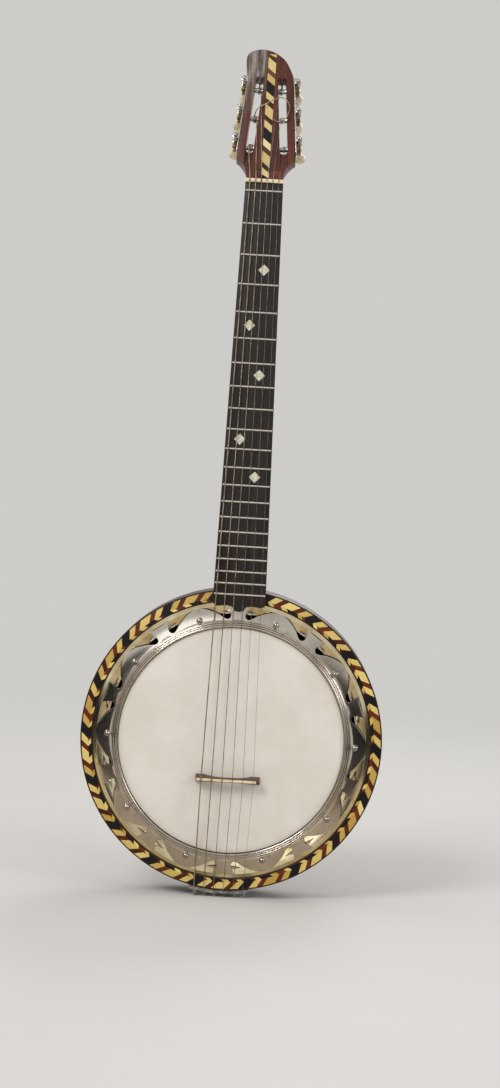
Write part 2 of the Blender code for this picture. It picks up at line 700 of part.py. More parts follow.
def least_gap(winding, per_turn):
    """Least distance between the middles of a winding's turns, over half a turn apart."""
    apart = per_turn // 2 + 1
    return min((a - b).length for i, a in enumerate(winding) for b in winding[i + apart:])


def build_string(pot, neck, head, frame, side, order, metal):
    """One string, from its tailpiece hook over bridge and nut, wound on its post.

    The order counts from the outer post of the side, at the nut, to the inner one.
    """
    index = order if side < 0 else 5 - order
    radius = STRING_RADII[index]
    place_in_row = index - 2.5
    tail_x = TAIL_OFFSET + place_in_row * TAIL_SPACING
    lift = GAP + radius

    def from_pot(x, y, front):
        return pot.matrix_world @ Vector((x, y, front))

    points = [from_pot(tail_x, -0.1762, 0.0322), from_pot(tail_x, -0.1754, 0.0352 + radius),
              from_pot(tail_x, -0.1735, 0.0355 + lift),
              from_pot(BRIDGE_OFFSET + place_in_row * BRIDGE_SPACING, -BRIDGE_BELOW_CENTRE,
                       SADDLE_TOP + lift)]
    nut_x = place_in_row * NUT_SPACING
    points.append(neck.matrix_world @ Vector((nut_x, 0.0, FRET_HEIGHT + lift)))
    nut_y = NUT_START + NUT_THICKNESS + 0.0001
    points.append(neck.matrix_world @ Vector((nut_x, nut_y, 0.0008 + lift)))

    wind_radius = POST_RADIUS + GAP + radius
    first_turn = -SLOT_FROM_SIDE + (0.0018 if order == 0 else -0.0024)
    out_of_face = 1.0 if side > 0 else -1.0
    start = frame.matrix_world @ Vector((first_turn, 0.0, out_of_face * wind_radius))
    edge_along = (None, 0.0631, 0.1015)[order]
    if edge_along is not None:
        nut_point = head.matrix_world.inverted() @ points[-1]
        post_point = head.matrix_world.inverted() @ start
        share = (edge_along - nut_point.y) / (post_point.y - nut_point.y)
        x = nut_point.x + (post_point.x - nut_point.x) * share
        points.append(head.matrix_world @ Vector((x, edge_along, 0.0005 + radius)))

    turns = 2.5
    per_turn = 12
    climb = (2 * radius + 0.0005) * (-1.0 if order == 0 else 1.0)
    winding = []
    for i in range(int(turns * per_turn) + 1):
        angle = math.tau * i / per_turn
        winding.append(frame.matrix_world @ Vector((
            first_turn + climb * i / per_turn, wind_radius * math.sin(angle),
            out_of_face * wind_radius * math.cos(angle))))
    points += winding
    gap = least_gap(winding, per_turn) - 2 * radius
    print("string_%d: least gap of its winding to itself %.2f mm" % (6 - index, gap * 1000))

    curve = bpy.data.curves.new("string_%d" % (6 - index), "CURVE")
    curve.dimensions = "3D"
    curve.bevel_depth = radius
    curve.bevel_resolution = 1
    curve.use_fill_caps = True
    spline = curve.splines.new("POLY")
    spline.points.add(len(points) - 1)
    for target, point in zip(spline.points, points):
        target.co = (*point, 1.0)
    place(bpy.data.objects.new(curve.name, curve), None, metal)


def build_banjo():
    """Build every piece, from the body up to the tuning machines and the strings."""
    clear_scene()
    walnut = make_material("walnut", (0.09, 0.035, 0.018), 0.35)
    mahogany = make_material("mahogany", (0.13, 0.035, 0.018), 0.35)
    maple = make_material("maple", (0.55, 0.40, 0.24), 0.5)
    inlay = make_material("boxwood_marquetry", (0.60, 0.42, 0.14), 0.4)
    ebony = make_material("ebony", (0.022, 0.016, 0.012), 0.4)
    bone = make_material("bone", (0.80, 0.74, 0.60), 0.45)
    ivory = make_material("ivory_plastic", (0.76, 0.66, 0.48), 0.35)
    nickel = make_material("nickel", (0.66, 0.62, 0.56), 0.18, 1.0)
    brass = make_material("pale_brass", (0.72, 0.60, 0.38), 0.25, 1.0)
    steel = make_material("steel", (0.60, 0.60, 0.60), 0.25, 1.0)
    iron = make_material("cast_metal", (0.40, 0.40, 0.40), 0.5, 1.0)
    skin = make_material("head_skin", (0.78, 0.74, 0.66), 0.6)

    upright = math.radians(90.0)
    pot = make_frame("pot_frame", (0.0, 0.0, RIM_RADIUS), upright)
    neck = make_frame("neck_frame", (0.0, -ZERO_FRET_FRONT, ZERO_FRET_HEIGHT), upright - NECK_ANGLE)
    head = make_frame("headstock_frame", (0.0, NUT_START + NUT_THICKNESS + 0.0002, -HEADSTOCK_DROP),
                      -HEADSTOCK_ANGLE, neck)

    build_resonator(pot, walnut, inlay)
    build_pot(pot, maple, brass, steel, skin)
    build_lug_ring(pot, iron)
    build_tension_plate(pot, nickel)
    build_bolts(pot, nickel)
    build_dowel(pot, maple)
    build_tailpiece(pot, nickel, steel)
    build_bridge(pot, ebony, bone)
    build_neck(pot, neck, head, mahogany)
    build_fingerboard(neck, ebony, bone)
    headstock = build_headstock(head, mahogany, inlay)
    for side in (-1, 1):
        for number in range(3):
            frame = tuner_frame(head, side, number)
            build_machine(frame, side, number + 1, headstock, steel, brass, ivory)
            build_string(pot, neck, head, frame, side, number, steel)
            if number == 1:
                build_tuner_plate(frame, side, nickel)
    for obj in bpy.data.collections[PARTS].objects:
        if obj.type == "MESH":
            shade_round(obj)


build_banjo()
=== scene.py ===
import math

import bpy
from mathutils import Matrix, Vector


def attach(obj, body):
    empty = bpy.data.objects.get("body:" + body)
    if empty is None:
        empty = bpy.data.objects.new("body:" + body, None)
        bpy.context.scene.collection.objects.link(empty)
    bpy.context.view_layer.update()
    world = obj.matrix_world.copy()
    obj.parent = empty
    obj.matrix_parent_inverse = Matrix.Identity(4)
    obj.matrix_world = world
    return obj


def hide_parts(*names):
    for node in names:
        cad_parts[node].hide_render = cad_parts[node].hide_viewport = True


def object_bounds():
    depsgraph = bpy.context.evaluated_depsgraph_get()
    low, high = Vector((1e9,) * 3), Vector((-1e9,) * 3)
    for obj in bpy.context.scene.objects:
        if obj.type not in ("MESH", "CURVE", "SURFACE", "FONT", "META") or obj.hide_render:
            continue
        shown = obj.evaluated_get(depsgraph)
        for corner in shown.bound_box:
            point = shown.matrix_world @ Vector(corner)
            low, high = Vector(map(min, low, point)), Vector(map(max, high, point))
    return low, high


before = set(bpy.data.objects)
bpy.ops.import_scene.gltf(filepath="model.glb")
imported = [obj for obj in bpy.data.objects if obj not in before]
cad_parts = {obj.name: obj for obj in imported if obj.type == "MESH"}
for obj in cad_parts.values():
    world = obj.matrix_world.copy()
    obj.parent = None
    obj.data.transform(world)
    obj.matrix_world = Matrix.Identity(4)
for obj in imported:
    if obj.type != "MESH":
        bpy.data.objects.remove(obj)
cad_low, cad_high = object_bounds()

# The six-string banjo's finish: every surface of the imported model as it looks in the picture.
# Sizes are in metres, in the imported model's own frame. +Z runs up the neck, the strings face -Y.

# The studio: a pale round floor under soft lamps, which fades into the backdrop far from the object.
# The picture is taken from a little above the middle of the strings, and the camera is tipped so
# that the neck leans to the right.
CAMERA_PLACE = (0.0449, -2.6000, 0.4739)
CAMERA_TURN = math.radians(0.82)
CAMERA_PITCH = math.radians(-1.855)
CAMERA_TIP = math.radians(3.42)
CAMERA_LENS = 75.86
SENSOR_WIDTH = 36.0
FAR_CLIP = 50.0
FLOOR_RADIUS = 12.0
FLOOR_GAP = 0.0005
GLOW_START = 0.5
GLOW_FULL = 2.2
BACKDROP = (206, 204, 200)
SKY_LIGHT = (0.60, 0.60, 0.61, 1.0)
COAT_ROUGHNESS = 0.07
LAMP_AIM = Vector((0.0, 0.0, 0.40))


def paint(red, green, blue):
    """Return a colour that is written as on a paint card, from 0 to 255, as a shader takes it."""
    shares = [value / 255.0 for value in (red, green, blue)]
    return tuple(v / 12.92 if v <= 0.04045 else ((v + 0.055) / 1.055) ** 2.4 for v in shares)


def tune(material, values):
    """Set values that hold all over the piece on the finish's shader."""
    for socket, value in values.items():
        material.node_tree.nodes["Principled BSDF"].inputs[socket].default_value = value
    return material


def finish(name, colour, roughness, metallic=0.0, coat=0.0):
    """Start a finish in one colour and gloss."""
    material = bpy.data.materials.new(name)
    material.use_nodes = True
    return tune(material, {"Base Color": (*colour, 1.0), "Roughness": roughness, "Metallic": metallic,
                           "Coat Weight": coat, "Coat Roughness": COAT_ROUGHNESS})


def add(material, kind, inputs, **settings):
    """Add a node to a finish. Each input takes a plain value or another node's output."""
    made = material.node_tree.nodes.new("ShaderNode" + kind)
    for key, value in settings.items():
        setattr(made, key, value)
    for key, value in inputs.items():
        if isinstance(value, bpy.types.NodeSocket):
            material.node_tree.links.new(value, made.inputs[key])
        else:
            made.inputs[key].default_value = value
    return made


def join_to_shader(material, socket, output):
    """Lead a node's output into one socket of the finish's shader."""
    shader = material.node_tree.nodes["Principled BSDF"]
    material.node_tree.links.new(output, shader.inputs[socket])


def own_place(material):
    """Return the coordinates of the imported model's frame."""
    return add(material, "TexCoord", {}).outputs["Object"]


def reckon(material, operation, first, second):
    """Return what a Math node makes of two values."""
    return add(material, "Math", {0: first, 1: second}, operation=operation).outputs["Value"]


def cloud(material, size, detail=4.0, roughness=0.55, vector=None, distortion=0.0):
    """Return soft noise of about the given size in metres, or stretched along a vector."""
    if vector is None:
        vector = own_place(material)
    return add(material, "TexNoise", {"Vector": vector, "Scale": 1.0 / size, "Detail": detail,
                                      "Roughness": roughness, "Distortion": distortion}).outputs["Fac"]


def share_between(material, value, low, high, **settings):
    """Return 0 where a value is low, 1 where it is high, and a share in between."""
    return add(material, "MapRange", {"Value": value, "From Min": low, "From Max": high}, clamp=True,
               **settings).outputs["Result"]


def between(material, share, low, high, first, second):
    """Blend two colours, from the first where share is low to the second where it is high."""
    colours = {"Fac": share_between(material, share, low, high)}
    for key, colour in (("Color1", first), ("Color2", second)):
        colours[key] = colour if isinstance(colour, bpy.types.NodeSocket) else (*colour, 1.0)
    return add(material, "MixRGB", colours).outputs["Color"]


def colour_by(material, *blend):
    """Let the finish's colour follow a blend, which between() describes."""
    join_to_shader(material, "Base Color", between(material, *blend))


def seen_directly(holder):
    """Return 1 on the rays that see the backdrop, and 0 on those that only light the object."""
    rays = add(holder, "LightPath", {}).outputs
    seen = reckon(holder, "MAXIMUM", rays["Is Camera Ray"], rays["Is Glossy Ray"])
    return reckon(holder, "MAXIMUM", seen, rays["Is Transmission Ray"])


camera_data = bpy.data.cameras.new("camera")
camera_data.lens = CAMERA_LENS
camera_data.sensor_width = SENSOR_WIDTH
camera_data.clip_end = FAR_CLIP
camera = bpy.data.objects.new("camera", camera_data)
camera.matrix_world = (Matrix.Translation(CAMERA_PLACE) @ Matrix.Rotation(CAMERA_TURN, 4, "Z")
                       @ Matrix.Rotation(math.radians(90.0) + CAMERA_PITCH, 4, "X")
                       @ Matrix.Rotation(CAMERA_TIP, 4, "Z"))
bpy.context.scene.collection.objects.link(camera)
bpy.context.scene.camera = camera
bpy.context.scene.view_settings.view_transform = "Standard"

bpy.ops.object.select_all(action="DESELECT")
bpy.ops.mesh.primitive_circle_add(vertices=96, radius=FLOOR_RADIUS, fill_type="NGON",
                                  location=(0.0, 0.0, cad_low.z - FLOOR_GAP))
floor = bpy.context.object
floor.name = "floor"
floor_paint = tune(finish("floor_paint", paint(214, 211, 206), 0.75), {"Specular IOR Level": 0.0})
colour_by(floor_paint, cloud(floor_paint, 0.9), 0.3, 0.7, paint(211, 208, 203), paint(217, 214, 209))
floor_far = add(floor_paint, "VectorMath", {0: own_place(floor_paint), 1: (0.0, 0.0, 0.0)},
                operation="DISTANCE").outputs["Value"]
floor_share = share_between(floor_paint, floor_far, GLOW_START, GLOW_FULL, interpolation_type="SMOOTHSTEP")
floor_share = reckon(floor_paint, "MULTIPLY", floor_share, seen_directly(floor_paint))
floor_glow = add(floor_paint, "Emission", {"Color": (*paint(*BACKDROP), 1.0), "Strength": 1.0})
floor_mix = add(floor_paint, "MixShader", {
    "Fac": floor_share, 1: floor_paint.node_tree.nodes["Principled BSDF"].outputs["BSDF"],
    2: floor_glow.outputs["Emission"]})
floor_paint.node_tree.links.new(floor_mix.outputs["Shader"],
                                floor_paint.node_tree.nodes["Material Output"].inputs["Surface"])
floor.data.materials.append(floor_paint)

world = bpy.data.worlds.new("studio")
world.use_nodes = True
bpy.context.scene.world = world
world_mix = add(world, "MixRGB", {"Fac": seen_directly(world), "Color1": SKY_LIGHT,
                                  "Color2": (*paint(*BACKDROP), 1.0)})
world.node_tree.links.new(world_mix.outputs["Color"], world.node_tree.nodes["Background"].inputs["Color"])
for lamp_name, lamp_place, lamp_size, lamp_power in (
        ("key_lamp", (-1.5, -2.3, 2.3), 1.3, 46.0),
        ("side_lamp", (2.2, -1.6, 1.2), 1.1, 14.0),
        ("window_lamp", (-0.21, -2.30, 0.17), 0.26, 0.19),
        ("back_lamp", (0.8, 2.4, 2.0), 1.6, 30.0)):
    lamp_data = bpy.data.lights.new(lamp_name, "AREA")
    lamp_data.shape = "DISK"
    lamp_data.size = lamp_size
    lamp_data.energy = lamp_power
    lamp = bpy.data.objects.new(lamp_name, lamp_data)
    aim = LAMP_AIM - Vector(lamp_place)
    lamp.matrix_world = Matrix.Translation(lamp_place) @ aim.to_track_quat("-Z", "Y").to_matrix().to_4x4()
    bpy.context.scene.collection.objects.link(lamp)

# The cards: black and brown boards that stand and lie round the front of the studio. Only the
# metal's reflections see them.
black_card = finish("black_card_paint", paint(10, 10, 10), 0.9)
colour_by(black_card, cloud(black_card, 0.2), 0.3, 0.7, paint(7, 7, 7), paint(14, 13, 13))
brown_card = finish("brown_card_paint", paint(182, 168, 144), 0.9)
colour_by(brown_card, cloud(brown_card, 0.2), 0.3, 0.7, paint(176, 162, 138), paint(188, 174, 150))
for card_name, card_finish, card_middle, card_size in (
        ("card_left", black_card, (-0.900, -1.450, 0.110), (1.400, 0.004, 0.220)),
        ("card_right", black_card, (0.8825, -1.450, 0.095), (1.435, 0.004, 0.190)),
        ("card_floor_left", black_card, (-0.8875, -1.075, 0.006), (1.425, 0.750, 0.003)),
        ("card_floor_right", black_card, (0.875, -1.035, 0.006), (1.450, 0.830, 0.003)),
        ("card_floor_middle", brown_card, (0.0, -0.755, 0.002), (1.200, 1.390, 0.003))):
    bpy.ops.object.select_all(action="DESELECT")
    bpy.ops.mesh.primitive_cube_add(size=1.0, location=card_middle, scale=card_size)
    card = bpy.context.object
    card.name = card_name
    bpy.ops.object.transform_apply(location=True, rotation=True, scale=True)
    card.data.materials.append(card_finish)
    for ray in ("camera", "diffuse", "transmission", "volume_scatter", "shadow"):
        setattr(card, "visible_" + ray, False)

# The resonator: a round box of dark red-brown wood, lacquered. Its rim is bent from strips whose
# grain runs round it, with a ledge and a rebate turned in its front. The back is one arched plate.
RIM_RADIUS = 0.1695
RIM_FRONT = 0.0350
RIM_BACK = -0.0300
BAND_INNER = 0.1574
BAND_OUTER = 0.1679
RIM_BORE = 0.1605
LEDGE_BORE = 0.1500
LEDGE_BACK = 0.0262
LEDGE_FRONT = 0.0322
LIP_BORE = 0.1562
REBATE = 0.0330
BACK_FACE = -0.0303
BACK_EDGE = -0.0345
BACK_ARCH = 0.0040
LATHE_STEPS = 192
PORES_TO_STREAKS = 7.0
PORE_SHADE = 0.45
TO_FRONT = Matrix.Rotation(math.radians(90.0), 4, "X")
POT = Matrix.Translation((0.0, 0.0, RIM_RADIUS)) @ TO_FRONT


def work_on(piece):
    """Select one piece alone and make it active."""
    bpy.ops.object.select_all(action="DESELECT")
    piece.select_set(True)
    bpy.context.view_layer.objects.active = piece


def fit_on(piece, surface, slot, body, *nodes):
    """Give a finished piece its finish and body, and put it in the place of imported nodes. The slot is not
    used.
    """
    piece.data.materials.append(surface)
    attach(piece, body)
    if nodes:
        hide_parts(*nodes)


def seat(piece, name, place, sharp=35.0):
    """Name a piece, put it in its place in the mesh itself, and shade its rounds smooth."""
    piece.name = name
    piece.data.name = name
    work_on(piece)
    piece.matrix_world = place @ piece.matrix_world
    bpy.ops.object.transform_apply(location=True, rotation=True, scale=True)
    bpy.ops.object.shade_smooth_by_angle(angle=math.radians(sharp))
    return piece


def outline_of(places, fill="NOTHING"):
    """Add a closed outline through the places, open or filled."""
    bpy.ops.object.select_all(action="DESELECT")
    bpy.ops.mesh.primitive_circle_add(vertices=len(places), radius=0.01, fill_type=fill)
    for point, place in zip(bpy.context.object.data.vertices, places):
        point.co = place
    return bpy.context.object


def turn(name, profile, steps, place, sharp=35.0):
    """Turn a closed profile of (radius, height) once round the place's Z."""
    piece = outline_of([(radius, 0.0, height) for radius, height in profile])
    bpy.ops.object.mode_set(mode="EDIT")
    bpy.ops.mesh.select_all(action="SELECT")
    bpy.ops.mesh.spin(steps=steps, angle=math.tau, center=(0.0, 0.0, 0.0), axis=(0.0, 0.0, 1.0))
    bpy.ops.mesh.select_all(action="SELECT")
    bpy.ops.mesh.remove_doubles(threshold=0.000005)
    bpy.ops.mesh.delete_loose(use_verts=True, use_edges=True, use_faces=False)
    bpy.ops.mesh.select_all(action="SELECT")
    bpy.ops.mesh.normals_make_consistent(inside=False)
    bpy.ops.object.mode_set(mode="OBJECT")
    return seat(piece, name, place, sharp)


def rounded(corners, radius, steps=4):
    """Round the corners of a closed profile that ask for it with a third value of 1."""
    profile = []
    count = len(corners)
    for i, (x, y, soft) in enumerate(corners):
        if not soft:
            profile.append((x, y))
            continue
        here = Vector((x, y))
        before = (Vector(corners[i - 1][:2]) - here).normalized()
        after = (Vector(corners[(i + 1) % count][:2]) - here).normalized()
        for j in range(steps + 1):
            t = j / steps
            profile.append(tuple(here + before * radius * (1 - t) ** 2 + after * radius * t ** 2))
    return profile


def round_coordinates(material):
    """Return coordinates that run round the body's axis, for grain that is bent round a ring."""
    split = add(material, "SeparateXYZ", {"Vector": own_place(material)}).outputs
    up = reckon(material, "SUBTRACT", split["Z"], RIM_RADIUS)
    angle = reckon(material, "ARCTAN2", split["X"], up)
    arc = reckon(material, "MULTIPLY", angle, RIM_RADIUS)
    return add(material, "CombineXYZ", {"X": arc, "Y": split["Y"], "Z": 0.0}).outputs["Vector"]


def stretched(material, place, scale):
    """Return coordinates scaled along each axis."""
    return add(material, "Mapping", {"Vector": place, "Scale": scale}).outputs["Vector"]


def relief(material, height, depth, strength=1.0):
    """Raise the surface by a height pattern, up to a depth in metres."""
    bump = add(material, "Bump", {"Height": height, "Distance": depth, "Strength": strength})
    join_to_shader(material, "Normal", bump.outputs["Normal"])


def gloss(material, share, low, high):
    """Let the roughness wander between two values with a pattern."""
    level = add(material, "MapRange", {"Value": share, "From Min": 0.3, "From Max": 0.7,
                                       "To Min": low, "To Max": high}, clamp=True)
    join_to_shader(material, "Roughness", level.outputs["Result"])


def wood(name, dark, light, across, lengthwise, tilt=0.0, bent=False, coat=0.5, roughness=0.34):
    """A lacquered wood: broad streaks and fine pores, long in Z, or round the ring if bent."""
    material = tune(finish(name, light, roughness, coat=coat), {"Specular IOR Level": 0.3})
    place = round_coordinates(material) if bent else own_place(material)
    broad = (1.0 / lengthwise, 1.0 / across, 1.0) if bent else (1.0 / across, 1.0 / across, 1.0 / lengthwise)
    fine = tuple(value * PORES_TO_STREAKS for value in broad)
    turned = add(material, "Mapping", {"Vector": place, "Rotation": (tilt, 0.0, 0.0)}).outputs["Vector"]
    streaks = cloud(material, 1.0, 5.0, 0.6, stretched(material, turned, broad), distortion=0.6)
    pores = cloud(material, 1.0, 3.0, 0.7, stretched(material, turned, fine))
    body = between(material, streaks, 0.34, 0.66, dark, light)
    deep = tuple(value * PORE_SHADE for value in dark)
    colour_by(material, pores, 0.34, 0.48, deep, body)
    gloss(material, pores, roughness + 0.10, roughness - 0.06)
    relief(material, pores, 0.00015, 0.25)
    return material


rim_wood = wood("rim_wood", paint(28, 12, 8), paint(62, 29, 17), 0.010, 0.160, bent=True, coat=0.12,
                roughness=0.44)
back_wood = wood("back_wood", paint(46, 20, 12), paint(88, 42, 24), 0.014, 0.240)

rim_corners = [(RIM_RADIUS, RIM_FRONT, 1), (RIM_RADIUS, RIM_BACK, 0), (RIM_BORE, RIM_BACK, 0),
               (RIM_BORE, LEDGE_BACK, 0), (LEDGE_BORE, LEDGE_BACK, 0), (LEDGE_BORE, LEDGE_FRONT, 0),
               (LIP_BORE, LEDGE_FRONT, 0), (LIP_BORE, RIM_FRONT, 1),
               (BAND_INNER - 0.0001, RIM_FRONT, 0), (BAND_INNER - 0.0001, REBATE, 0),
               (BAND_OUTER + 0.0001, REBATE, 0), (BAND_OUTER + 0.0001, RIM_FRONT, 0)]
resonator_rim = turn("resonator_rim_wood", rounded(rim_corners, 0.0006), LATHE_STEPS, POT)
fit_on(resonator_rim, rim_wood, "resonator_wood", "root", "resonator_rim")

back_edge = RIM_RADIUS - 0.0010
back_corners = [(0.0, BACK_FACE, 0), (back_edge, BACK_FACE, 0), (back_edge, BACK_EDGE, 1)]
back_corners += [(back_edge * math.cos(math.radians(a)), BACK_EDGE - BACK_ARCH * math.sin(math.radians(a)), 0)
                 for a in range(10, 90, 8)]
back_corners.append((0.0, BACK_EDGE - BACK_ARCH, 0))
resonator_back = turn("resonator_back_wood", rounded(back_corners, 0.0016), LATHE_STEPS, POT)
fit_on(resonator_back, back_wood, "resonator_wood", "root", "resonator_back")

# The marquetry band: slanting pieces of yellow boxwood, red-brown padauk and black-dyed pear, glued
# side by side in the rim's rebate, with a narrow inner row that turns their slant into chevrons.
PATTERN_DEGREES = 20.0
PATTERN_START = 7.45
OUTER_SLANT = 2.6
INNER_SLANT = 1.1
BAND_JOINT = 0.1605
BAND_FACE = 0.0352
TILE_THICKNESS = 0.0018
GLUE_GAP = 0.00006
INLAY_ROUGHNESS = 0.42
OUTER_ROW = (("black", 0.0, 4.0), ("boxwood", 4.0, 3.0), ("padauk", 7.0, 2.4), ("boxwood", 9.4, 4.9),
             ("padauk", 14.3, 2.4), ("boxwood", 16.7, 3.0), ("padauk", 19.7, 0.3))
INNER_ROW = (("black", 0.0, 4.0), ("boxwood", 4.0, 2.0), ("padauk", 6.0, 3.4), ("boxwood", 9.4, 2.6),
             ("black", 12.0, 4.7), ("boxwood", 16.7, 2.0), ("padauk", 18.7, 1.3))


def lay_grid(columns, rows, where):
    """Add a flat grid and put each of its points where a function of (u, v), 0 to 1, says."""
    bpy.ops.object.select_all(action="DESELECT")
    bpy.ops.mesh.primitive_grid_add(x_subdivisions=columns, y_subdivisions=rows, size=1.0)
    piece = bpy.context.object
    for point in piece.data.vertices:
        point.co = where(point.co.x + 0.5, point.co.y + 0.5)
    return piece


def join_pieces(pieces):
    """Join several objects into the first one."""
    bpy.ops.object.select_all(action="DESELECT")
    for piece in pieces:
        piece.select_set(True)
    bpy.context.view_layer.objects.active = pieces[0]
    if len(pieces) > 1:
        bpy.ops.object.join()
    return pieces[0]


def apply_modifier(piece, kind, **settings):
    """Add a modifier with its settings and apply it."""
    work_on(piece)
    modifier = piece.modifiers.new(kind.title(), kind)
    for key, value in settings.items():
        setattr(modifier, key, value)
    bpy.ops.object.modifier_apply(modifier=modifier.name)
    return piece


def repeat_round(piece, degrees):
    """Repeat a piece all the way round its own Z, a step of so many degrees apart."""
    work_on(piece)
    bpy.ops.object.mode_set(mode="EDIT")
    bpy.ops.mesh.select_all(action="SELECT")
    bpy.ops.mesh.spin(steps=round(360.0 / degrees) - 1, dupli=True, angle=math.radians(360.0 - degrees),
                      center=(0.0, 0.0, 0.0), axis=(0.0, 0.0, 1.0))
    bpy.ops.object.mode_set(mode="OBJECT")
    return piece


def veneer(name, dark, light, coat=0.25):
    """A marquetry wood: fine grain, with each glued piece a little lighter or darker."""
    material = tune(finish(name, light, INLAY_ROUGHNESS, coat=coat), {"Specular IOR Level": 0.25})
    chance = add(material, "NewGeometry", {}).outputs["Random Per Island"]
    fine = cloud(material, 0.0016, 3.0, 0.6)
    colour_by(material, reckon(material, "ADD", fine, chance), 0.45, 1.50, dark, light)
    relief(material, fine, 0.00008, 0.3)
    return material


boxwood = veneer("boxwood", paint(178, 142, 56), paint(228, 204, 122))
padauk = veneer("padauk", paint(56, 16, 3), paint(110, 42, 8), coat=0.15)
black_pear = veneer("black_pear", paint(9, 7, 9), paint(22, 18, 19), coat=0.1)
inlay_woods = {"boxwood": boxwood, "padauk": padauk, "black": black_pear}


def curved_tile(start, width, low, high, low_shift, high_shift):
    """One slanting piece of the band, between two radii, with its ends shifted round the ring."""
    gap = math.degrees(GLUE_GAP / BAND_JOINT)

    def where(u, v):
        radius = low + (high - low) * v
        angle = PATTERN_START + start + gap + (width - 2 * gap) * u
        angle = math.radians(angle + low_shift * (1 - v) + high_shift * v)
        return (radius * math.sin(angle), radius * math.cos(angle), BAND_FACE)
    return lay_grid(3, 1, where)


for inlay_name, inlay_finish in inlay_woods.items():
    tiles = [curved_tile(start, width, BAND_JOINT + GLUE_GAP, BAND_OUTER, 0.0, OUTER_SLANT)
             for wood_name, start, width in OUTER_ROW if wood_name == inlay_name]
    tiles += [curved_tile(start, width, BAND_INNER, BAND_JOINT, INNER_SLANT, 0.0)
              for wood_name, start, width in INNER_ROW if wood_name == inlay_name]
    band = repeat_round(join_pieces(tiles), PATTERN_DEGREES)
    apply_modifier(band, "SOLIDIFY", thickness=TILE_THICKNESS, offset=-1.0)
    seat(band, "band_" + inlay_name, POT)
    fit_on(band, inlay_finish, "marquetry", "root", "marquetry_band")

# The under ring: a turned trim ring of pale polished brass on the rim's ledge. It falls away a
# little to the outside and is dished inside, and the dish is bored off the centre, so that it fills
# the plate's notches at the bottom and leaves them open at the top.
UNDER_OUTER = 0.1559
UNDER_BACK = 0.0325
UNDER_FACE = 0.0334
DISH_INNER = 0.1350
DISH_OUTER = 0.1515
DISH_DROP = 0.0018
LIP_DROP = 0.0007
CREASE = 0.0004
BORE_RADIUS = 0.1400
BORE_OFFSET = 0.0032
AT_ORIGIN = Matrix.Identity(4)


def cut_away(piece, cutters):
    """Cut a piece with other objects, and take those objects away."""
    for cutter in cutters:
        apply_modifier(piece, "BOOLEAN", object=cutter, operation="DIFFERENCE", solver="EXACT")
        bpy.data.objects.remove(cutter, do_unlink=True)
    return piece


def cylinder(sides, radius, depth, **settings):
    """Add a plain cylinder about the origin, along Z unless it is turned."""
    bpy.ops.object.select_all(action="DESELECT")
    bpy.ops.mesh.primitive_cylinder_add(vertices=sides, radius=radius, depth=depth,
                                        end_fill_type="NGON", **settings)
    return bpy.context.object


def metal(name, dull, bright, rough_low, rough_high, size=0.030):
    """A plated metal: cloudy wear in its colour and gloss, and the finest of polishing marks."""
    material = finish(name, bright, rough_low, metallic=1.0)
    wear = cloud(material, size, 5.0, 0.6, distortion=0.3)
    colour_by(material, wear, 0.35, 0.65, dull, bright)
    gloss(material, wear, rough_high, rough_low)
    relief(material, cloud(material, 0.0012, 2.0, 0.5), 0.00002, 0.15)
    return material


ring_brass = metal("ring_brass", paint(206, 186, 142), paint(246, 236, 202), 0.08, 0.17)
under_profile = [(UNDER_OUTER, UNDER_BACK), (DISH_OUTER, UNDER_BACK), (DISH_INNER, UNDER_BACK - DISH_DROP),
                 (DISH_INNER, UNDER_FACE - DISH_DROP), (DISH_OUTER - CREASE, UNDER_FACE - CREASE / 4),
                 (DISH_OUTER, UNDER_FACE), (DISH_OUTER + CREASE, UNDER_FACE - CREASE / 4),
                 (UNDER_OUTER, UNDER_FACE - LIP_DROP)]
under_ring = turn("under_ring_brass", under_profile, LATHE_STEPS, POT)
bore_cutter = seat(cylinder(LATHE_STEPS, BORE_RADIUS, 0.06), "bore_cutter",
                   POT @ Matrix.Translation((0.0, BORE_OFFSET, 0.03)))
cut_away(under_ring, [bore_cutter])
seat(under_ring, "under_ring_brass", AT_ORIGIN, sharp=30.0)
fit_on(under_ring, ring_brass, "pale_brass", "root", "under_ring")

# The pot inside the resonator: a maple hoop and its brass tone ring, the cast bracket ring that
# takes the bolts, the steel flesh hoop and the maple stick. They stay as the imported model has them.
hidden_maple = wood("hidden_maple", paint(150, 112, 70), paint(196, 160, 112), 0.008, 0.150, coat=0.1)
hidden_brass = metal("hidden_brass", paint(150, 118, 62), paint(204, 172, 104), 0.30, 0.45)
cast_iron = metal("cast_iron", paint(92, 90, 88), paint(142, 140, 136), 0.42, 0.60, size=0.006)
hoop_steel = metal("hoop_steel", paint(120, 118, 114), paint(176, 174, 170), 0.28, 0.45)
for node_name, node_finish in (("pot_shell", hidden_maple), ("tone_ring", hidden_brass),
                               ("lug_ring", cast_iron), ("flesh_hoop", hoop_steel),
                               ("dowel_stick", hidden_maple)):
    hidden_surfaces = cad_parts[node_name].data.materials
    hidden_surfaces.clear()
    hidden_surfaces.append(node_finish)
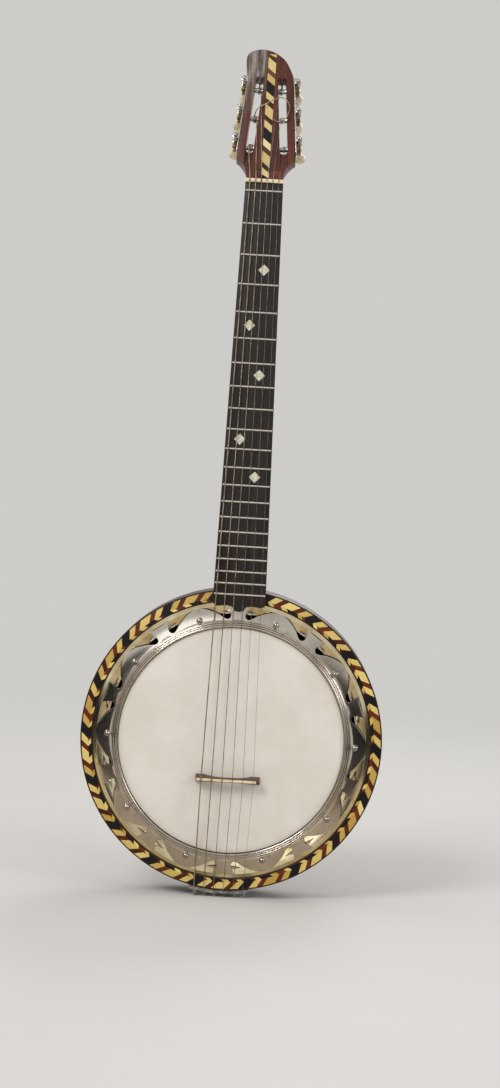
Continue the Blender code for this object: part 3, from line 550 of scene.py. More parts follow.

# The head: a sheet of frosted skin stretched over the tone ring and turned down round its edge.
# It is matte and almost white, and a painted shade darkens it towards the edge, beside the hoop.
HEAD_FRONT = 0.0385
HEAD_EDGE = 0.1268
HEAD_SKIRT = 0.0310
SKIN_THICKNESS = 0.0004
EDGE_SHADE_START = 0.1210
EDGE_SHADE_END = 0.1275
skin_finish = tune(finish("frosted_skin", paint(222, 215, 203), 0.55),
                   {"Subsurface Weight": 0.05, "Subsurface Scale": 0.002})
skin_centre = add(skin_finish, "VectorMath", {0: own_place(skin_finish), 1: (0.0, -HEAD_FRONT, RIM_RADIUS)},
                  operation="DISTANCE").outputs["Value"]
skin_clouds = cloud(skin_finish, 0.045, 6.0, 0.6, distortion=0.5)
skin_white = between(skin_finish, skin_clouds, 0.30, 0.70, paint(214, 206, 193), paint(226, 219, 208))
# Painted shade: the skin is darkened towards its edge, where it meets the hoop.
colour_by(skin_finish, skin_centre, EDGE_SHADE_START, EDGE_SHADE_END, skin_white, paint(206, 198, 184))
relief(skin_finish, cloud(skin_finish, 0.0007, 2.0), 0.00004, 0.35)
skin_back = HEAD_FRONT - SKIN_THICKNESS
skin_profile = [(0.0, HEAD_FRONT), (0.06, HEAD_FRONT), (0.1180, HEAD_FRONT), (HEAD_EDGE - 0.0012, HEAD_FRONT),
                (HEAD_EDGE - 0.0006, HEAD_FRONT - 0.0002), (HEAD_EDGE - 0.0002, HEAD_FRONT - 0.0006),
                (HEAD_EDGE, HEAD_FRONT - 0.0014), (HEAD_EDGE, HEAD_SKIRT),
                (HEAD_EDGE - SKIN_THICKNESS, HEAD_SKIRT), (HEAD_EDGE - SKIN_THICKNESS, skin_back - 0.0011),
                (HEAD_EDGE - 0.0008, skin_back - 0.0003), (HEAD_EDGE - 0.0016, skin_back), (0.0, skin_back)]
head = turn("head_skin_sheet", skin_profile, LATHE_STEPS, POT)
fit_on(head, skin_finish, "head_skin", "root", "head")

# The tension plate: one stamped piece of nickel-plated brass. Three beads run round the head, and
# outside them a scalloped plate has a lobe at each bolt and a fishtail tab between two teardrop notches.
PLATE_INNER = 0.1345
PLATE_FRONT = 0.0380
PLATE_THICKNESS = 0.0016
PLATE_FALL = 0.0007
MOTIF_DEGREES = 36.0
TAB_END = ((0.0, 0.0, 0.1505), (0.5, 2.6, 0.1509), (1.0, 4.9, 0.1526))
PLATE_REACH = 0.1526
NOTCH_SIDE = ((1.0, 4.9, 0.1526), (1.7, 4.0, 0.1470), (2.4, 3.2, 0.1420), (3.2, 3.7, 0.1380),
              (4.6, 5.0, 0.1367), (6.2, 6.6, 0.1385), (8.4, 8.6, 0.1424), (11.0, 11.2, 0.1462),
              (14.5, 14.5, 0.1503), (18.0, 18.0, 0.1519), (21.5, 21.5, 0.1503))
HOOP_INNER = 0.1274
HOOP_BACK = 0.0352
BEADS = ((0.1287, 0.0012, 0.0413), (0.1310, 0.0010, 0.0404), (0.1332, 0.0011, 0.0395))
BEAD_RISE = 0.0010


def through(points, steps):
    """Return a smooth run through the points, with steps to each span (Catmull-Rom)."""
    ends = [points[0]] + list(points) + [points[-1]]
    run = []
    for a, b, c, d in zip(ends, ends[1:], ends[2:], ends[3:]):
        for i in range(steps):
            t = i / steps
            run.append(tuple(0.5 * (2 * q + (r - p) * t + (2 * p - 5 * q + 4 * r - s) * t ** 2
                                    + (3 * q - p - 3 * r + s) * t ** 3)
                             for p, q, r, s in zip(a, b, c, d)))
    run.append(tuple(points[-1]))
    return run


half_motif = through(TAB_END, 4)[:-1]
half_motif += [point for point in through(NOTCH_SIDE, 6) if point[0] <= MOTIF_DEGREES / 2 + 0.0001]
motif = half_motif + [(MOTIF_DEGREES - a, MOTIF_DEGREES - b, r) for a, b, r in reversed(half_motif[:-1])]


def plate_point(u, v):
    """A point of one motif of the plate, across from the beads to the cut edge."""
    inner_angle, edge_angle, edge_radius = motif[round(u * (len(motif) - 1))]
    angle = math.radians(inner_angle + (edge_angle - inner_angle) * v)
    radius = PLATE_INNER + (edge_radius - PLATE_INNER) * v
    fall = PLATE_FALL * ((radius - PLATE_INNER) / (PLATE_REACH - PLATE_INNER)) ** 2
    return (radius * math.sin(angle), radius * math.cos(angle), PLATE_FRONT - fall)


def mend(piece, merge=0.000005, cap=False):
    """Merge a piece's doubled points, close its open ends if asked, and turn its faces outwards."""
    work_on(piece)
    bpy.ops.object.mode_set(mode="EDIT")
    bpy.ops.mesh.select_all(action="SELECT")
    bpy.ops.mesh.remove_doubles(threshold=merge)
    if cap:
        bpy.ops.mesh.select_all(action="DESELECT")
        bpy.ops.mesh.select_non_manifold(extend=False)
        bpy.ops.mesh.edge_face_add()
        bpy.ops.mesh.select_all(action="SELECT")
    bpy.ops.mesh.normals_make_consistent(inside=False)
    bpy.ops.object.mode_set(mode="OBJECT")
    return piece


def ease(piece, width, segments=3, degrees=50.0):
    """Round the edges of a piece that are sharper than so many degrees."""
    return apply_modifier(piece, "BEVEL", width=width, segments=segments, limit_method="ANGLE",
                          angle_limit=math.radians(degrees))


plate = mend(repeat_round(lay_grid(len(motif) - 1, 6, plate_point), MOTIF_DEGREES), 0.00001)
if plate.data.polygons[0].normal.z < 0:
    plate.data.flip_normals()
apply_modifier(plate, "SOLIDIFY", thickness=PLATE_THICKNESS, offset=-1.0, use_even_offset=True)
ease(plate, 0.0004)
seat(plate, "tension_plate_sheet", POT)
bead_profile = [(HOOP_INNER, HOOP_BACK), (HOOP_INNER, 0.0404)]
for bead_centre, bead_half, bead_top in BEADS:
    bead_profile += [(bead_centre - bead_half * math.cos(math.pi * i / 8),
                      bead_top - BEAD_RISE + BEAD_RISE * math.sin(math.pi * i / 8)) for i in range(9)]
bead_profile += [(0.1346, 0.0382), (0.1350, 0.0377), (0.1350, HOOP_BACK)]
beads = turn("tension_beads", bead_profile, 240, POT, sharp=50.0)
tension_plate = join_pieces([plate, beads])

nickel = finish("worn_nickel", paint(212, 204, 194), 0.10, metallic=1.0)
nickel_cloud = cloud(nickel, 0.050, 5.0, 0.6, distortion=0.4)
nickel_stain = cloud(nickel, 0.014, 4.0, 0.6, distortion=0.8)
nickel_plain = between(nickel, nickel_cloud, 0.35, 0.65, paint(190, 180, 168), paint(216, 209, 200))
colour_by(nickel, nickel_stain, 0.60, 0.74, nickel_plain, paint(172, 156, 136))
gloss(nickel, nickel_cloud, 0.15, 0.08)
relief(nickel, cloud(nickel, 0.0015, 2.0), 0.00001, 0.10)
fit_on(tension_plate, nickel, "nickel_plate", "root", "tension_plate")

# The tension bolts: ten nickel bolts with smooth domed heads, turned from bar. They are screwed
# through the plate's lobes into the bracket ring behind.
BOLT_CIRCLE = 0.1390
BOLT_SEAT = 0.0383
BOLT_RADIUS = 0.0036
SHANK_RADIUS = 0.0021
SHANK_END = 0.0100
bolt_nickel = metal("bolt_nickel", paint(142, 138, 132), paint(188, 184, 178), 0.08, 0.14, size=0.008)
dome_profile = [(0.0, 0.0046), (0.0009, 0.0045), (0.0018, 0.0042), (0.0026, 0.0036), (0.0032, 0.0028),
                (0.0035, 0.0019), (BOLT_RADIUS, 0.0010), (0.0034, 0.0004), (0.0032, 0.0), (SHANK_RADIUS, 0.0)]
bolt_profile = [(radius, BOLT_SEAT + height) for radius, height in dome_profile]
bolt_profile += [(SHANK_RADIUS, SHANK_END), (0.0, SHANK_END)]


def copy_of(pattern, name, place):
    """Copy a finished piece with a mesh of its own, moved from the origin to a place."""
    piece = pattern.copy()
    piece.data = pattern.data.copy()
    bpy.context.scene.collection.objects.link(piece)
    piece.name = name
    piece.data.name = name
    piece.data.transform(place)
    return piece


def put_away(*patterns):
    """Take away the patterns that only copies were made from."""
    for pattern in patterns:
        bpy.data.objects.remove(pattern, do_unlink=True)


bolt_pattern = turn("bolt_pattern", bolt_profile, 32, AT_ORIGIN, sharp=40.0)
for bolt_number in range(1, 11):
    bolt_turn = Matrix.Rotation(-math.radians(MOTIF_DEGREES * (bolt_number - 0.5)), 4, "Z")
    bolt = copy_of(bolt_pattern, "bolt_%02d" % bolt_number,
                   POT @ bolt_turn @ Matrix.Translation((0.0, BOLT_CIRCLE, 0.0)))
    fit_on(bolt, bolt_nickel, "nickel_plate", "root", "tension_bolt_%02d" % bolt_number)
put_away(bolt_pattern)

# The tailpiece: a strip of thick nickel plate bent round the bottom of the rim. Its front lip carries
# six hooks for the strings' loop ends, and one round-headed screw holds it to the stick inside.
TAIL_CENTRE = 181.4
TAIL_HALF = 11.5
TAIL_INNER = 0.1698
TAIL_THICKNESS = 0.0016
TAIL_BACK = -0.0120
TAIL_FRONT = 0.0340
LIP_LOW = 0.0312
LIP_HIGH = 0.0352
TAIL_OFFSET = -0.0045
TAIL_SPACING = 0.0110
HOOK_START = (0.0, -0.1715, 0.0336)
HOOK_END = (0.0, -0.1772, 0.0334)
HOOK_BESIDE = 0.0018
HOOK_RADIUS = 0.0009
SCREW_RADIUS = 0.0023
SCREW_END = -0.0240
SCREW_TOP = 0.0030


def bent_strip(inner, outer, half, low, high):
    """A strip bent round the body's axis, between two radii and two heights."""
    def where(u, v):
        angle = math.radians(TAIL_CENTRE + half * (2 * u - 1))
        return (inner * math.sin(angle), inner * math.cos(angle), low + (high - low) * v)
    strip = mend(apply_modifier(lay_grid(40, 2, where), "SOLIDIFY", thickness=outer - inner, offset=1.0))
    # The thickness grew towards the axis, so its points are thrown over to the outer side.
    for point in strip.data.vertices:
        radius = math.hypot(point.co.x, point.co.y)
        point.co.xy *= (2 * inner - radius) / radius
    strip.data.flip_normals()
    return ease(strip, 0.0004)


def copies(pattern, name, places):
    """Copy a piece to each of the places, and take the first one away."""
    made = [copy_of(pattern, name, place) for place in places]
    put_away(pattern)
    return made


def rod(start, end, radius, sides=16, tip=0.6):
    """A round rod between two points, with its far end rounded over."""
    start = Vector(start)
    end = Vector(end)
    piece = cylinder(sides, radius, (end - start).length)
    turn_to = Vector((0.0, 0.0, 1.0)).rotation_difference(end - start).to_matrix().to_4x4()
    piece.matrix_world = Matrix.Translation((start + end) / 2) @ turn_to
    bpy.ops.object.transform_apply(location=True, rotation=True, scale=True)
    return ease(piece, radius * tip, degrees=60.0)


tail_parts = [bent_strip(TAIL_INNER, TAIL_INNER + TAIL_THICKNESS, TAIL_HALF, TAIL_BACK, TAIL_FRONT),
              bent_strip(TAIL_INNER + 0.0004, TAIL_INNER + 0.0040, TAIL_HALF - 0.2, LIP_LOW, LIP_HIGH)]
hook_places = [TAIL_OFFSET + (number - 2.5) * TAIL_SPACING + HOOK_BESIDE for number in range(6)]
tail_parts += copies(rod(HOOK_START, HOOK_END, HOOK_RADIUS), "hook",
                     [Matrix.Translation((x, 0.0, 0.0)) for x in hook_places])
tailpiece = seat(join_pieces(tail_parts), "tailpiece_plate", POT)
tail_nickel = metal("tail_nickel", paint(104, 102, 100), paint(190, 188, 184), 0.14, 0.26, size=0.012)
fit_on(tailpiece, tail_nickel, "nickel_plate", "root", "tailpiece")

tail_screw_place = POT @ Matrix.Translation((0.0, -0.1717, 0.0)) @ TO_FRONT
tail_screw = turn("tailpiece_round_screw", [
    (0.0, SCREW_TOP), (0.0016, 0.0028), (0.0032, 0.0020), (0.0042, 0.0009), (0.0045, 0.0),
    (SCREW_RADIUS, 0.0), (SCREW_RADIUS, SCREW_END), (0.0, SCREW_END)], 32, tail_screw_place)
slot_cutter = rod((-0.006, 0.0, SCREW_TOP), (0.006, 0.0, SCREW_TOP), 0.0007, sides=8, tip=0.1)
seat(slot_cutter, "screw_slot_cutter", tail_screw_place)
cut_away(tail_screw, [slot_cutter])
screw_steel = metal("screw_steel", paint(120, 116, 112), paint(190, 186, 180), 0.18, 0.30, size=0.006)
fit_on(tail_screw, screw_steel, "steel", "root", "tailpiece_screw")

# The bridge: a low dark wooden bridge on two broad feet, arched between them, with a strip of
# cream bone laid on its top against a small stop at the right end. The strings alone hold it down.
BRIDGE_BELOW_CENTRE = 0.0435
BRIDGE_OFFSET = -0.0012
BRIDGE_SPACING = 0.0117
BRIDGE_HALF = 0.0360
BRIDGE_FOOT_HALF = 0.0045
BRIDGE_TOP_HALF = 0.0020
SADDLE_HALF = 0.0014
SADDLE_TOP = HEAD_FRONT + 0.0163
FOOT = HEAD_FRONT + 0.0003
ARCH_HALF = 0.0250
ARCH_RISE = 0.0088


def cut_out(name, outline, low, high, place, edge=0.0004, segments=2):
    """Saw an outline out of flat stock between two heights, and ease its edges."""
    piece = outline_of([(x, y, low) for x, y in outline], "NGON")
    bpy.ops.object.mode_set(mode="EDIT")
    bpy.ops.mesh.select_all(action="SELECT")
    bpy.ops.mesh.extrude_region_move(TRANSFORM_OT_translate={"value": (0.0, 0.0, high - low)})
    bpy.ops.mesh.select_all(action="SELECT")
    bpy.ops.mesh.normals_make_consistent(inside=False)
    bpy.ops.object.mode_set(mode="OBJECT")
    if edge:
        ease(piece, edge, segments, 40.0)
    return seat(piece, name, place)


BRIDGE = POT @ Matrix.Translation((BRIDGE_OFFSET, -BRIDGE_BELOW_CENTRE, 0.0)) @ TO_FRONT
body_top = SADDLE_TOP - 0.0022
bridge_arch = [(ARCH_HALF * math.cos(math.pi * i / 24), FOOT + ARCH_RISE * math.sin(math.pi * i / 24) ** 1.2)
               for i in range(25)]
bridge_outline = [(BRIDGE_HALF, FOOT), (BRIDGE_HALF, FOOT + 0.0030), (BRIDGE_HALF - 0.0014, FOOT + 0.0060),
                  (BRIDGE_HALF - 0.0002, body_top), (BRIDGE_HALF - 0.0002, SADDLE_TOP - 0.0004),
                  (BRIDGE_HALF - 0.0010, SADDLE_TOP), (BRIDGE_HALF - 0.0028, SADDLE_TOP),
                  (BRIDGE_HALF - 0.0034, body_top), (-BRIDGE_HALF + 0.0004, body_top),
                  (-BRIDGE_HALF + 0.0014, FOOT + 0.0060), (-BRIDGE_HALF, FOOT + 0.0030), (-BRIDGE_HALF, FOOT)]
bridge_outline += [(x, height) for x, height in reversed(bridge_arch)]
bridge = cut_out("bridge_body", bridge_outline, -1.0, 1.0, AT_ORIGIN, edge=0.0)
for point in bridge.data.vertices:
    raised = (point.co.y - FOOT) / (body_top - FOOT)
    point.co.z *= BRIDGE_FOOT_HALF + (BRIDGE_TOP_HALF - BRIDGE_FOOT_HALF) * raised
ease(bridge, 0.0005, 2, 40.0)
seat(bridge, "bridge_body", BRIDGE)
dark_bridge_wood = wood("dark_bridge_wood", paint(52, 30, 12), paint(98, 62, 28), 0.0015, 0.0040, coat=0.1)
fit_on(bridge, dark_bridge_wood, "ebony", "root", "bridge")

saddle_end = BRIDGE_HALF - 0.0036
saddle_outline = [(saddle_end, body_top + 0.0003), (saddle_end, SADDLE_TOP)]
for string_place in range(5, -1, -1):
    notch_x = (string_place - 2.5) * BRIDGE_SPACING
    saddle_outline += [(notch_x + 0.0007, SADDLE_TOP), (notch_x, SADDLE_TOP - 0.0003),
                       (notch_x - 0.0007, SADDLE_TOP)]
saddle_outline += [(-BRIDGE_HALF + 0.0012, SADDLE_TOP), (-BRIDGE_HALF + 0.0012, body_top + 0.0003)]
saddle = cut_out("saddle_strip", saddle_outline, -SADDLE_HALF, SADDLE_HALF, BRIDGE, edge=0.0003)
bone = tune(finish("aged_bone", paint(226, 208, 168), 0.38, coat=0.2),
            {"Subsurface Weight": 0.08, "Subsurface Scale": 0.002})
bone_streaks = cloud(bone, 1.0, 4.0, 0.6, stretched(bone, own_place(bone), (60.0, 900.0, 900.0)))
colour_by(bone, bone_streaks, 0.35, 0.65, paint(208, 186, 140), paint(236, 222, 190))
relief(bone, bone_streaks, 0.00005, 0.3)
fit_on(saddle, bone, "bone", "root", "bridge_saddle")

# The neck: one piece of red-brown mahogany, carved round behind, with a heel that meets the rim.
# At its top it turns back by eighteen degrees and widens into the headstock.
SCALE_LENGTH = 0.660
NECK_ANGLE = math.radians(2.0)
HEADSTOCK_ANGLE = math.radians(18.0)
ZERO_FRET_HEIGHT = RIM_RADIUS - BRIDGE_BELOW_CENTRE + SCALE_LENGTH * math.cos(NECK_ANGLE)
BOARD_THICKNESS = 0.0050
BOARD_HALF_AT_ZERO = 0.0213
BOARD_HALF_AT_LAST = 0.0294
FRET_COUNT = 20
LAST_FRET = -SCALE_LENGTH * (1 - 2 ** (-FRET_COUNT / 12))
NUT_START = 0.0093
NUT_THICKNESS = 0.0040
HEADSTOCK_THICKNESS = 0.0170
NECK_HALF_AT_NUT = 0.0210
ZERO_FRET_FRONT = 0.0271
STRIP_CUT_HALF = 0.0048
SPAN_STEPS = 4
NECK = (Matrix.Translation((0.0, -ZERO_FRET_FRONT, ZERO_FRET_HEIGHT))
        @ Matrix.Rotation(math.radians(90.0) - NECK_ANGLE, 4, "X"))
HEADSTOCK = (NECK @ Matrix.Translation((0.0, NUT_START + NUT_THICKNESS + 0.0002, -0.0035))
             @ Matrix.Rotation(-HEADSTOCK_ANGLE, 4, "X"))


def board_half_width(along):
    """Half the fingerboard's width at a distance up the neck from the zero fret."""
    return BOARD_HALF_AT_ZERO + (BOARD_HALF_AT_LAST - BOARD_HALF_AT_ZERO) * along / LAST_FRET


def neck_section(matrix, along, half_width, top, depth, fullness, count=28, across=6):
    """Points round one cross-section of the neck: flat in front and rounded behind."""
    ring = []
    for i in range(count + 1):
        t = math.pi * i / count
        wide = math.copysign(abs(math.cos(t)) ** (2.0 / fullness), math.cos(t))
        deep = abs(math.sin(t)) ** (2.0 / fullness)
        ring.append(tuple(matrix @ Vector((half_width * wide, along, top - depth * deep))))
    for i in range(1, across + 1):
        ring.append(tuple(matrix @ Vector((half_width * (2.0 * i / across - 1.0), along, top))))
    return ring


def bar(half_width, low, high):
    """The outline of a straight bar."""
    return [(-half_width, low), (half_width, low), (half_width, high), (-half_width, high)]


neck_top = -BOARD_THICKNESS - 0.0002
head_in_neck = NECK.inverted() @ HEADSTOCK
neck_stations = [(-0.4615, 0.0600, 1.8), (-0.4500, 0.0590, 1.8), (-0.4400, 0.0520, 1.8),
                 (-0.4300, 0.0410, 1.9), (-0.4180, 0.0310, 2.0), (-0.4020, 0.0245, 2.1),
                 (-0.3800, 0.0215, 2.2), (-0.3400, 0.0202, 2.2), (-0.2200, 0.0186, 2.2),
                 (-0.1000, 0.0172, 2.2), (-0.0200, 0.0162, 2.2), (0.0040, 0.0162, 2.3)]
neck_rings = [neck_section(AT_ORIGIN, along, board_half_width(along) - 0.0002, neck_top, depth, fullness)
              for along, depth, fullness in neck_stations]
neck_rings.append(neck_section(AT_ORIGIN, NUT_START + NUT_THICKNESS, NECK_HALF_AT_NUT, neck_top, 0.0158, 2.4))
neck_rings.append(neck_section(head_in_neck, 0.0010, NECK_HALF_AT_NUT, 0.0, 0.0176, 2.8))
neck_rings.append(neck_section(head_in_neck, 0.0060, 0.0213, 0.0, 0.0172, 4.0))
neck_rings.append(neck_section(head_in_neck, 0.0117, 0.0222, 0.0, HEADSTOCK_THICKNESS, 9.0))
neck_lines = [through([ring[i] for ring in neck_rings], SPAN_STEPS) for i in range(len(neck_rings[0]))]
around = len(neck_lines) - 1
lengths = len(neck_lines[0]) - 1
neck_skin = lay_grid(around, lengths, lambda u, v: neck_lines[round(u * around)][round(v * lengths)])
neck = seat(mend(neck_skin, cap=True), "neck_mahogany", NECK)
rim_cutter = turn("rim_cutter", [(RIM_RADIUS + 0.0003, RIM_FRONT + 0.0005), (RIM_RADIUS + 0.0003, -0.0800),
                                 (0.0500, -0.0800), (0.0500, RIM_FRONT + 0.0005)], LATHE_STEPS, POT)
strip_cutter = cut_out("strip_cutter", bar(STRIP_CUT_HALF, 0.0010, 0.0200), -0.0018, 0.0100, HEADSTOCK,
                       edge=0.0)
cut_away(neck, [rim_cutter, strip_cutter])
seat(neck, "neck_mahogany", AT_ORIGIN, sharp=30.0)
neck_mahogany = wood("neck_mahogany", paint(72, 31, 17), paint(112, 55, 33), 0.0065, 0.110, tilt=NECK_ANGLE,
                     coat=0.25, roughness=0.36)
fit_on(neck, neck_mahogany, "neck_wood", "root", "neck")

# The fingerboard: almost black wood with an ogee end over the plate. Twenty frets and a zero fret of
# nickel silver wire are hammered into it, and five cream diamonds are let in between frets.
FRET_HALF_WIDTH = 0.0011
FRET_HEIGHT = 0.0011
FRET_SHORT = 0.0006
FRET_SLANT = 0.033
FRET_FOOT = -0.25
BOARD_END = ((0.0296, -0.4620), (0.0210, -0.4655), (0.0100, -0.4645), (0.0068, -0.4670), (0.0055, -0.4700),
             (0.0, -0.4715))
DIAMONDS = ((3, 0.0055), (5, -0.0071), (7, 0.0072), (10, -0.0102), (12, 0.0088))
DIAMOND_HALF_WIDE = 0.0063
DIAMOND_HALF_HIGH = 0.0064


def fret_place(number):
    """Where a fret stands on the neck, from the zero fret."""
    return -SCALE_LENGTH * (1 - 2 ** (-number / 12))


def mirrored(points):
    """The same points on the other side of the middle, in the order that goes on round."""
    return [(-x, y) for x, y in reversed(points)]


board_end = [(board_half_width(NUT_START), NUT_START - 0.0002), BOARD_END[0]] + through(BOARD_END[1:], 4)
fingerboard = cut_out("fingerboard_wood", board_end + mirrored(board_end[:-1]), -BOARD_THICKNESS, 0.0,
                      NECK, edge=0.0005, segments=3)
board_wood = wood("board_wood", paint(22, 17, 14), paint(46, 37, 31), 0.0035, 0.090, tilt=NECK_ANGLE,
                  coat=0.1, roughness=0.42)
fit_on(fingerboard, board_wood, "ebony", "root", "fingerboard")

fret_silver = metal("fret_silver", paint(226, 222, 214), paint(244, 241, 235), 0.22, 0.34, size=0.004)
fret_pattern = cylinder(24, 1.0, 2.0, rotation=(0.0, math.radians(90.0), 0.0))
bpy.ops.object.transform_apply(location=True, rotation=True, scale=True)
for point in fret_pattern.data.vertices:
    slant = FRET_SLANT * max(point.co.z, 0.0)
    point.co = (point.co.x * (1.0 - slant), point.co.y, max(point.co.z, FRET_FOOT))
fret_places = []
for along in map(fret_place, range(FRET_COUNT + 1)):
    fret_size = Matrix.Diagonal((board_half_width(along) - FRET_SHORT, FRET_HALF_WIDTH, FRET_HEIGHT, 1.0))
    fret_places.append(Matrix.Translation((0.0, along, 0.0)) @ fret_size)
frets = seat(join_pieces(copies(fret_pattern, "fret", fret_places)), "frets", NECK, sharp=40.0)
fit_on(frets, fret_silver, "nickel_plate", "root")

pearl = finish("cream_shell", paint(224, 216, 190), 0.28, coat=0.5)
colour_by(pearl, cloud(pearl, 0.0035, 4.0, 0.6, distortion=1.2), 0.35, 0.65,
          paint(186, 178, 146), paint(226, 220, 198))
diamond_pattern = cut_out("diamond", [(DIAMOND_HALF_WIDE, 0.0), (0.0, DIAMOND_HALF_HIGH),
                                      (-DIAMOND_HALF_WIDE, 0.0), (0.0, -DIAMOND_HALF_HIGH)],
                          -0.0009, 0.00012, AT_ORIGIN, edge=0.00008, segments=1)
diamond_places = [Matrix.Translation((offset, (fret_place(space) + fret_place(space - 1)) / 2, 0.0))
                  for space, offset in DIAMONDS]
diamonds = seat(join_pieces(copies(diamond_pattern, "diamond", diamond_places)), "diamonds", NECK)
fit_on(diamonds, pearl, "bone", "root")

# The nut: a bar of cream bone across the end of the board, filed with six notches. It is glued
# between the board's end and the headstock's face, from the same bone as the saddle.
NUT_SPACING = 0.0065
NUT_HEIGHT = 0.0022
nut_half = board_half_width(NUT_START)
nut_outline = [(nut_half, -BOARD_THICKNESS), (nut_half, NUT_HEIGHT - 0.0004)]
for string_place in range(5, -1, -1):
    notch_x = (string_place - 2.5) * NUT_SPACING
    nut_outline += [(notch_x + 0.0010, NUT_HEIGHT), (notch_x + 0.0008, 0.0009), (notch_x - 0.0008, 0.0009),
                    (notch_x - 0.0010, NUT_HEIGHT)]
nut_outline += [(-nut_half, NUT_HEIGHT - 0.0004), (-nut_half, -BOARD_THICKNESS)]
nut_place = NECK @ Matrix.Translation((0.0, NUT_START + NUT_THICKNESS / 2, 0.0)) @ TO_FRONT
nut = cut_out("nut_bar", nut_outline, -NUT_THICKNESS / 2, NUT_THICKNESS / 2, nut_place, edge=0.0003)
fit_on(nut, bone, "bone", "root", "nut")

# The headstock: mahogany, sawn to its outline with hollow shoulders and a lopsided scrolled top.
# Two slots take the string posts, each with a ramp below and a tongue of wood above, and shallow
# flutes are carved in the scroll's left half.
SIDE_SLOPE = 0.0769
SIDE_HALF_WIDTH = 0.0326
SIDE_START = 0.0340
SIDE_END = 0.1310
SLOT_FROM_SIDE = 0.0131
SLOT_WIDTH = 0.0090
SLOT_LOW = 0.0350
SLOT_HIGH = 0.1290
TONGUE_START = 0.1216
TONGUE_HALF_WIDTH = 0.0009
POST_ALONG = (0.0432, 0.0797, 0.1162)
POST_DEPTH = 0.0080
POST_RADIUS = 0.0032
RAMP_UP = 0.0020
RAMP_DEPTH = 0.0062
RAMP_ANGLE = math.radians(-15.0)
RAMP_HALF_LONG = 0.0260
INLAY_CUT_HALF = 0.0046
FLUTES = ((-0.0250, -0.0262, 0.132), (-0.0213, -0.0234, 0.124), (-0.0177, -0.0196, 0.132),
          (-0.0141, -0.0152, 0.136), (-0.0105, -0.0112, 0.138), (-0.0070, -0.0074, 0.140))


def side_half_width(along):
    """Half the headstock's width where its sides are straight."""
    return SIDE_HALF_WIDTH - SIDE_SLOPE * (along - SIDE_START)


shoulder = through([(0.0222, 0.0120), (0.0232, 0.0145), (0.0260, 0.0188), (0.0298, 0.0232),
                    (side_half_width(0.0258), 0.0258)], 6)
scroll = through([(side_half_width(SIDE_END), SIDE_END), (0.0214, 0.1400), (0.0151, 0.1512),
                  (0.0056, 0.1592), (-0.0037, 0.1632), (-0.0130, 0.1642), (-0.0238, 0.1608),
                  (-0.0290, 0.1535), (-0.0288, 0.1420), (-0.0268, 0.1345),
                  (-side_half_width(SIDE_END), SIDE_END)], 5)
headstock = cut_out("headstock_mahogany", shoulder + scroll + mirrored(shoulder),
                    -HEADSTOCK_THICKNESS, 0.0, HEADSTOCK, edge=0.0008, segments=3)
slope = math.atan(SIDE_SLOPE)
slot_middle = (SLOT_LOW + SLOT_HIGH) / 2
slot_half = (SLOT_HIGH - SLOT_LOW) / 2
slot_radius = SLOT_WIDTH / 2
groove_radius = (slot_radius - TONGUE_HALF_WIDTH) / 2
half_turn = [math.pi * i / 16 for i in range(17)]
slot_top = [(slot_radius - groove_radius + groove_radius * math.cos(t),
             slot_half - groove_radius + groove_radius * math.sin(t)) for t in half_turn]
slot_top.append((TONGUE_HALF_WIDTH, TONGUE_START - slot_middle))
slot_outline = slot_top + mirrored(slot_top)
slot_outline += [(-slot_radius * math.cos(t), -slot_half + slot_radius - slot_radius * math.sin(t))
                 for t in half_turn]
slot_pattern = cut_out("slot_cutter", slot_outline, -0.030, 0.010, AT_ORIGIN, edge=0.0)
ramp_pattern = cut_out("ramp_cutter", bar(slot_radius - 0.0002, -RAMP_HALF_LONG, RAMP_HALF_LONG),
                       0.0, 0.0200, AT_ORIGIN, edge=0.0)


def slot_place(side, along, height):
    """The frame of a cutter on a slot's middle line, at a distance up the headstock."""
    return (HEADSTOCK @ Matrix.Translation((side * (side_half_width(along) - SLOT_FROM_SIDE), along, height))
            @ Matrix.Rotation(side * slope, 4, "Z"))


ramp_lean = Matrix.Rotation(RAMP_ANGLE, 4, "X")
headstock_cutters = copies(slot_pattern, "slot_cutter",
                           [slot_place(side, slot_middle, 0.0) for side in (1, -1)])
headstock_cutters += copies(ramp_pattern, "ramp_cutter", [
    slot_place(side, SLOT_LOW + RAMP_UP, -RAMP_DEPTH) @ ramp_lean for side in (1, -1)])
headstock_cutters.append(cut_out("inlay_cutter", bar(INLAY_CUT_HALF, -0.0010, 0.1588), -0.0018, 0.0100,
                                 HEADSTOCK, edge=0.0))
for flute_top, flute_low, flute_end in FLUTES:
    flute = rod((flute_low, flute_end, 0.0024), (flute_top, 0.1700, 0.0014), 0.0020, sides=20, tip=0.2)
    headstock_cutters.append(seat(flute, "flute_cutter", HEADSTOCK))
cut_away(headstock, headstock_cutters)
seat(headstock, "headstock_mahogany", AT_ORIGIN, sharp=32.0)
head_mahogany = wood("head_mahogany", paint(60, 25, 13), paint(98, 46, 26), 0.0050, 0.090,
                     tilt=NECK_ANGLE + HEADSTOCK_ANGLE, coat=0.25, roughness=0.36)


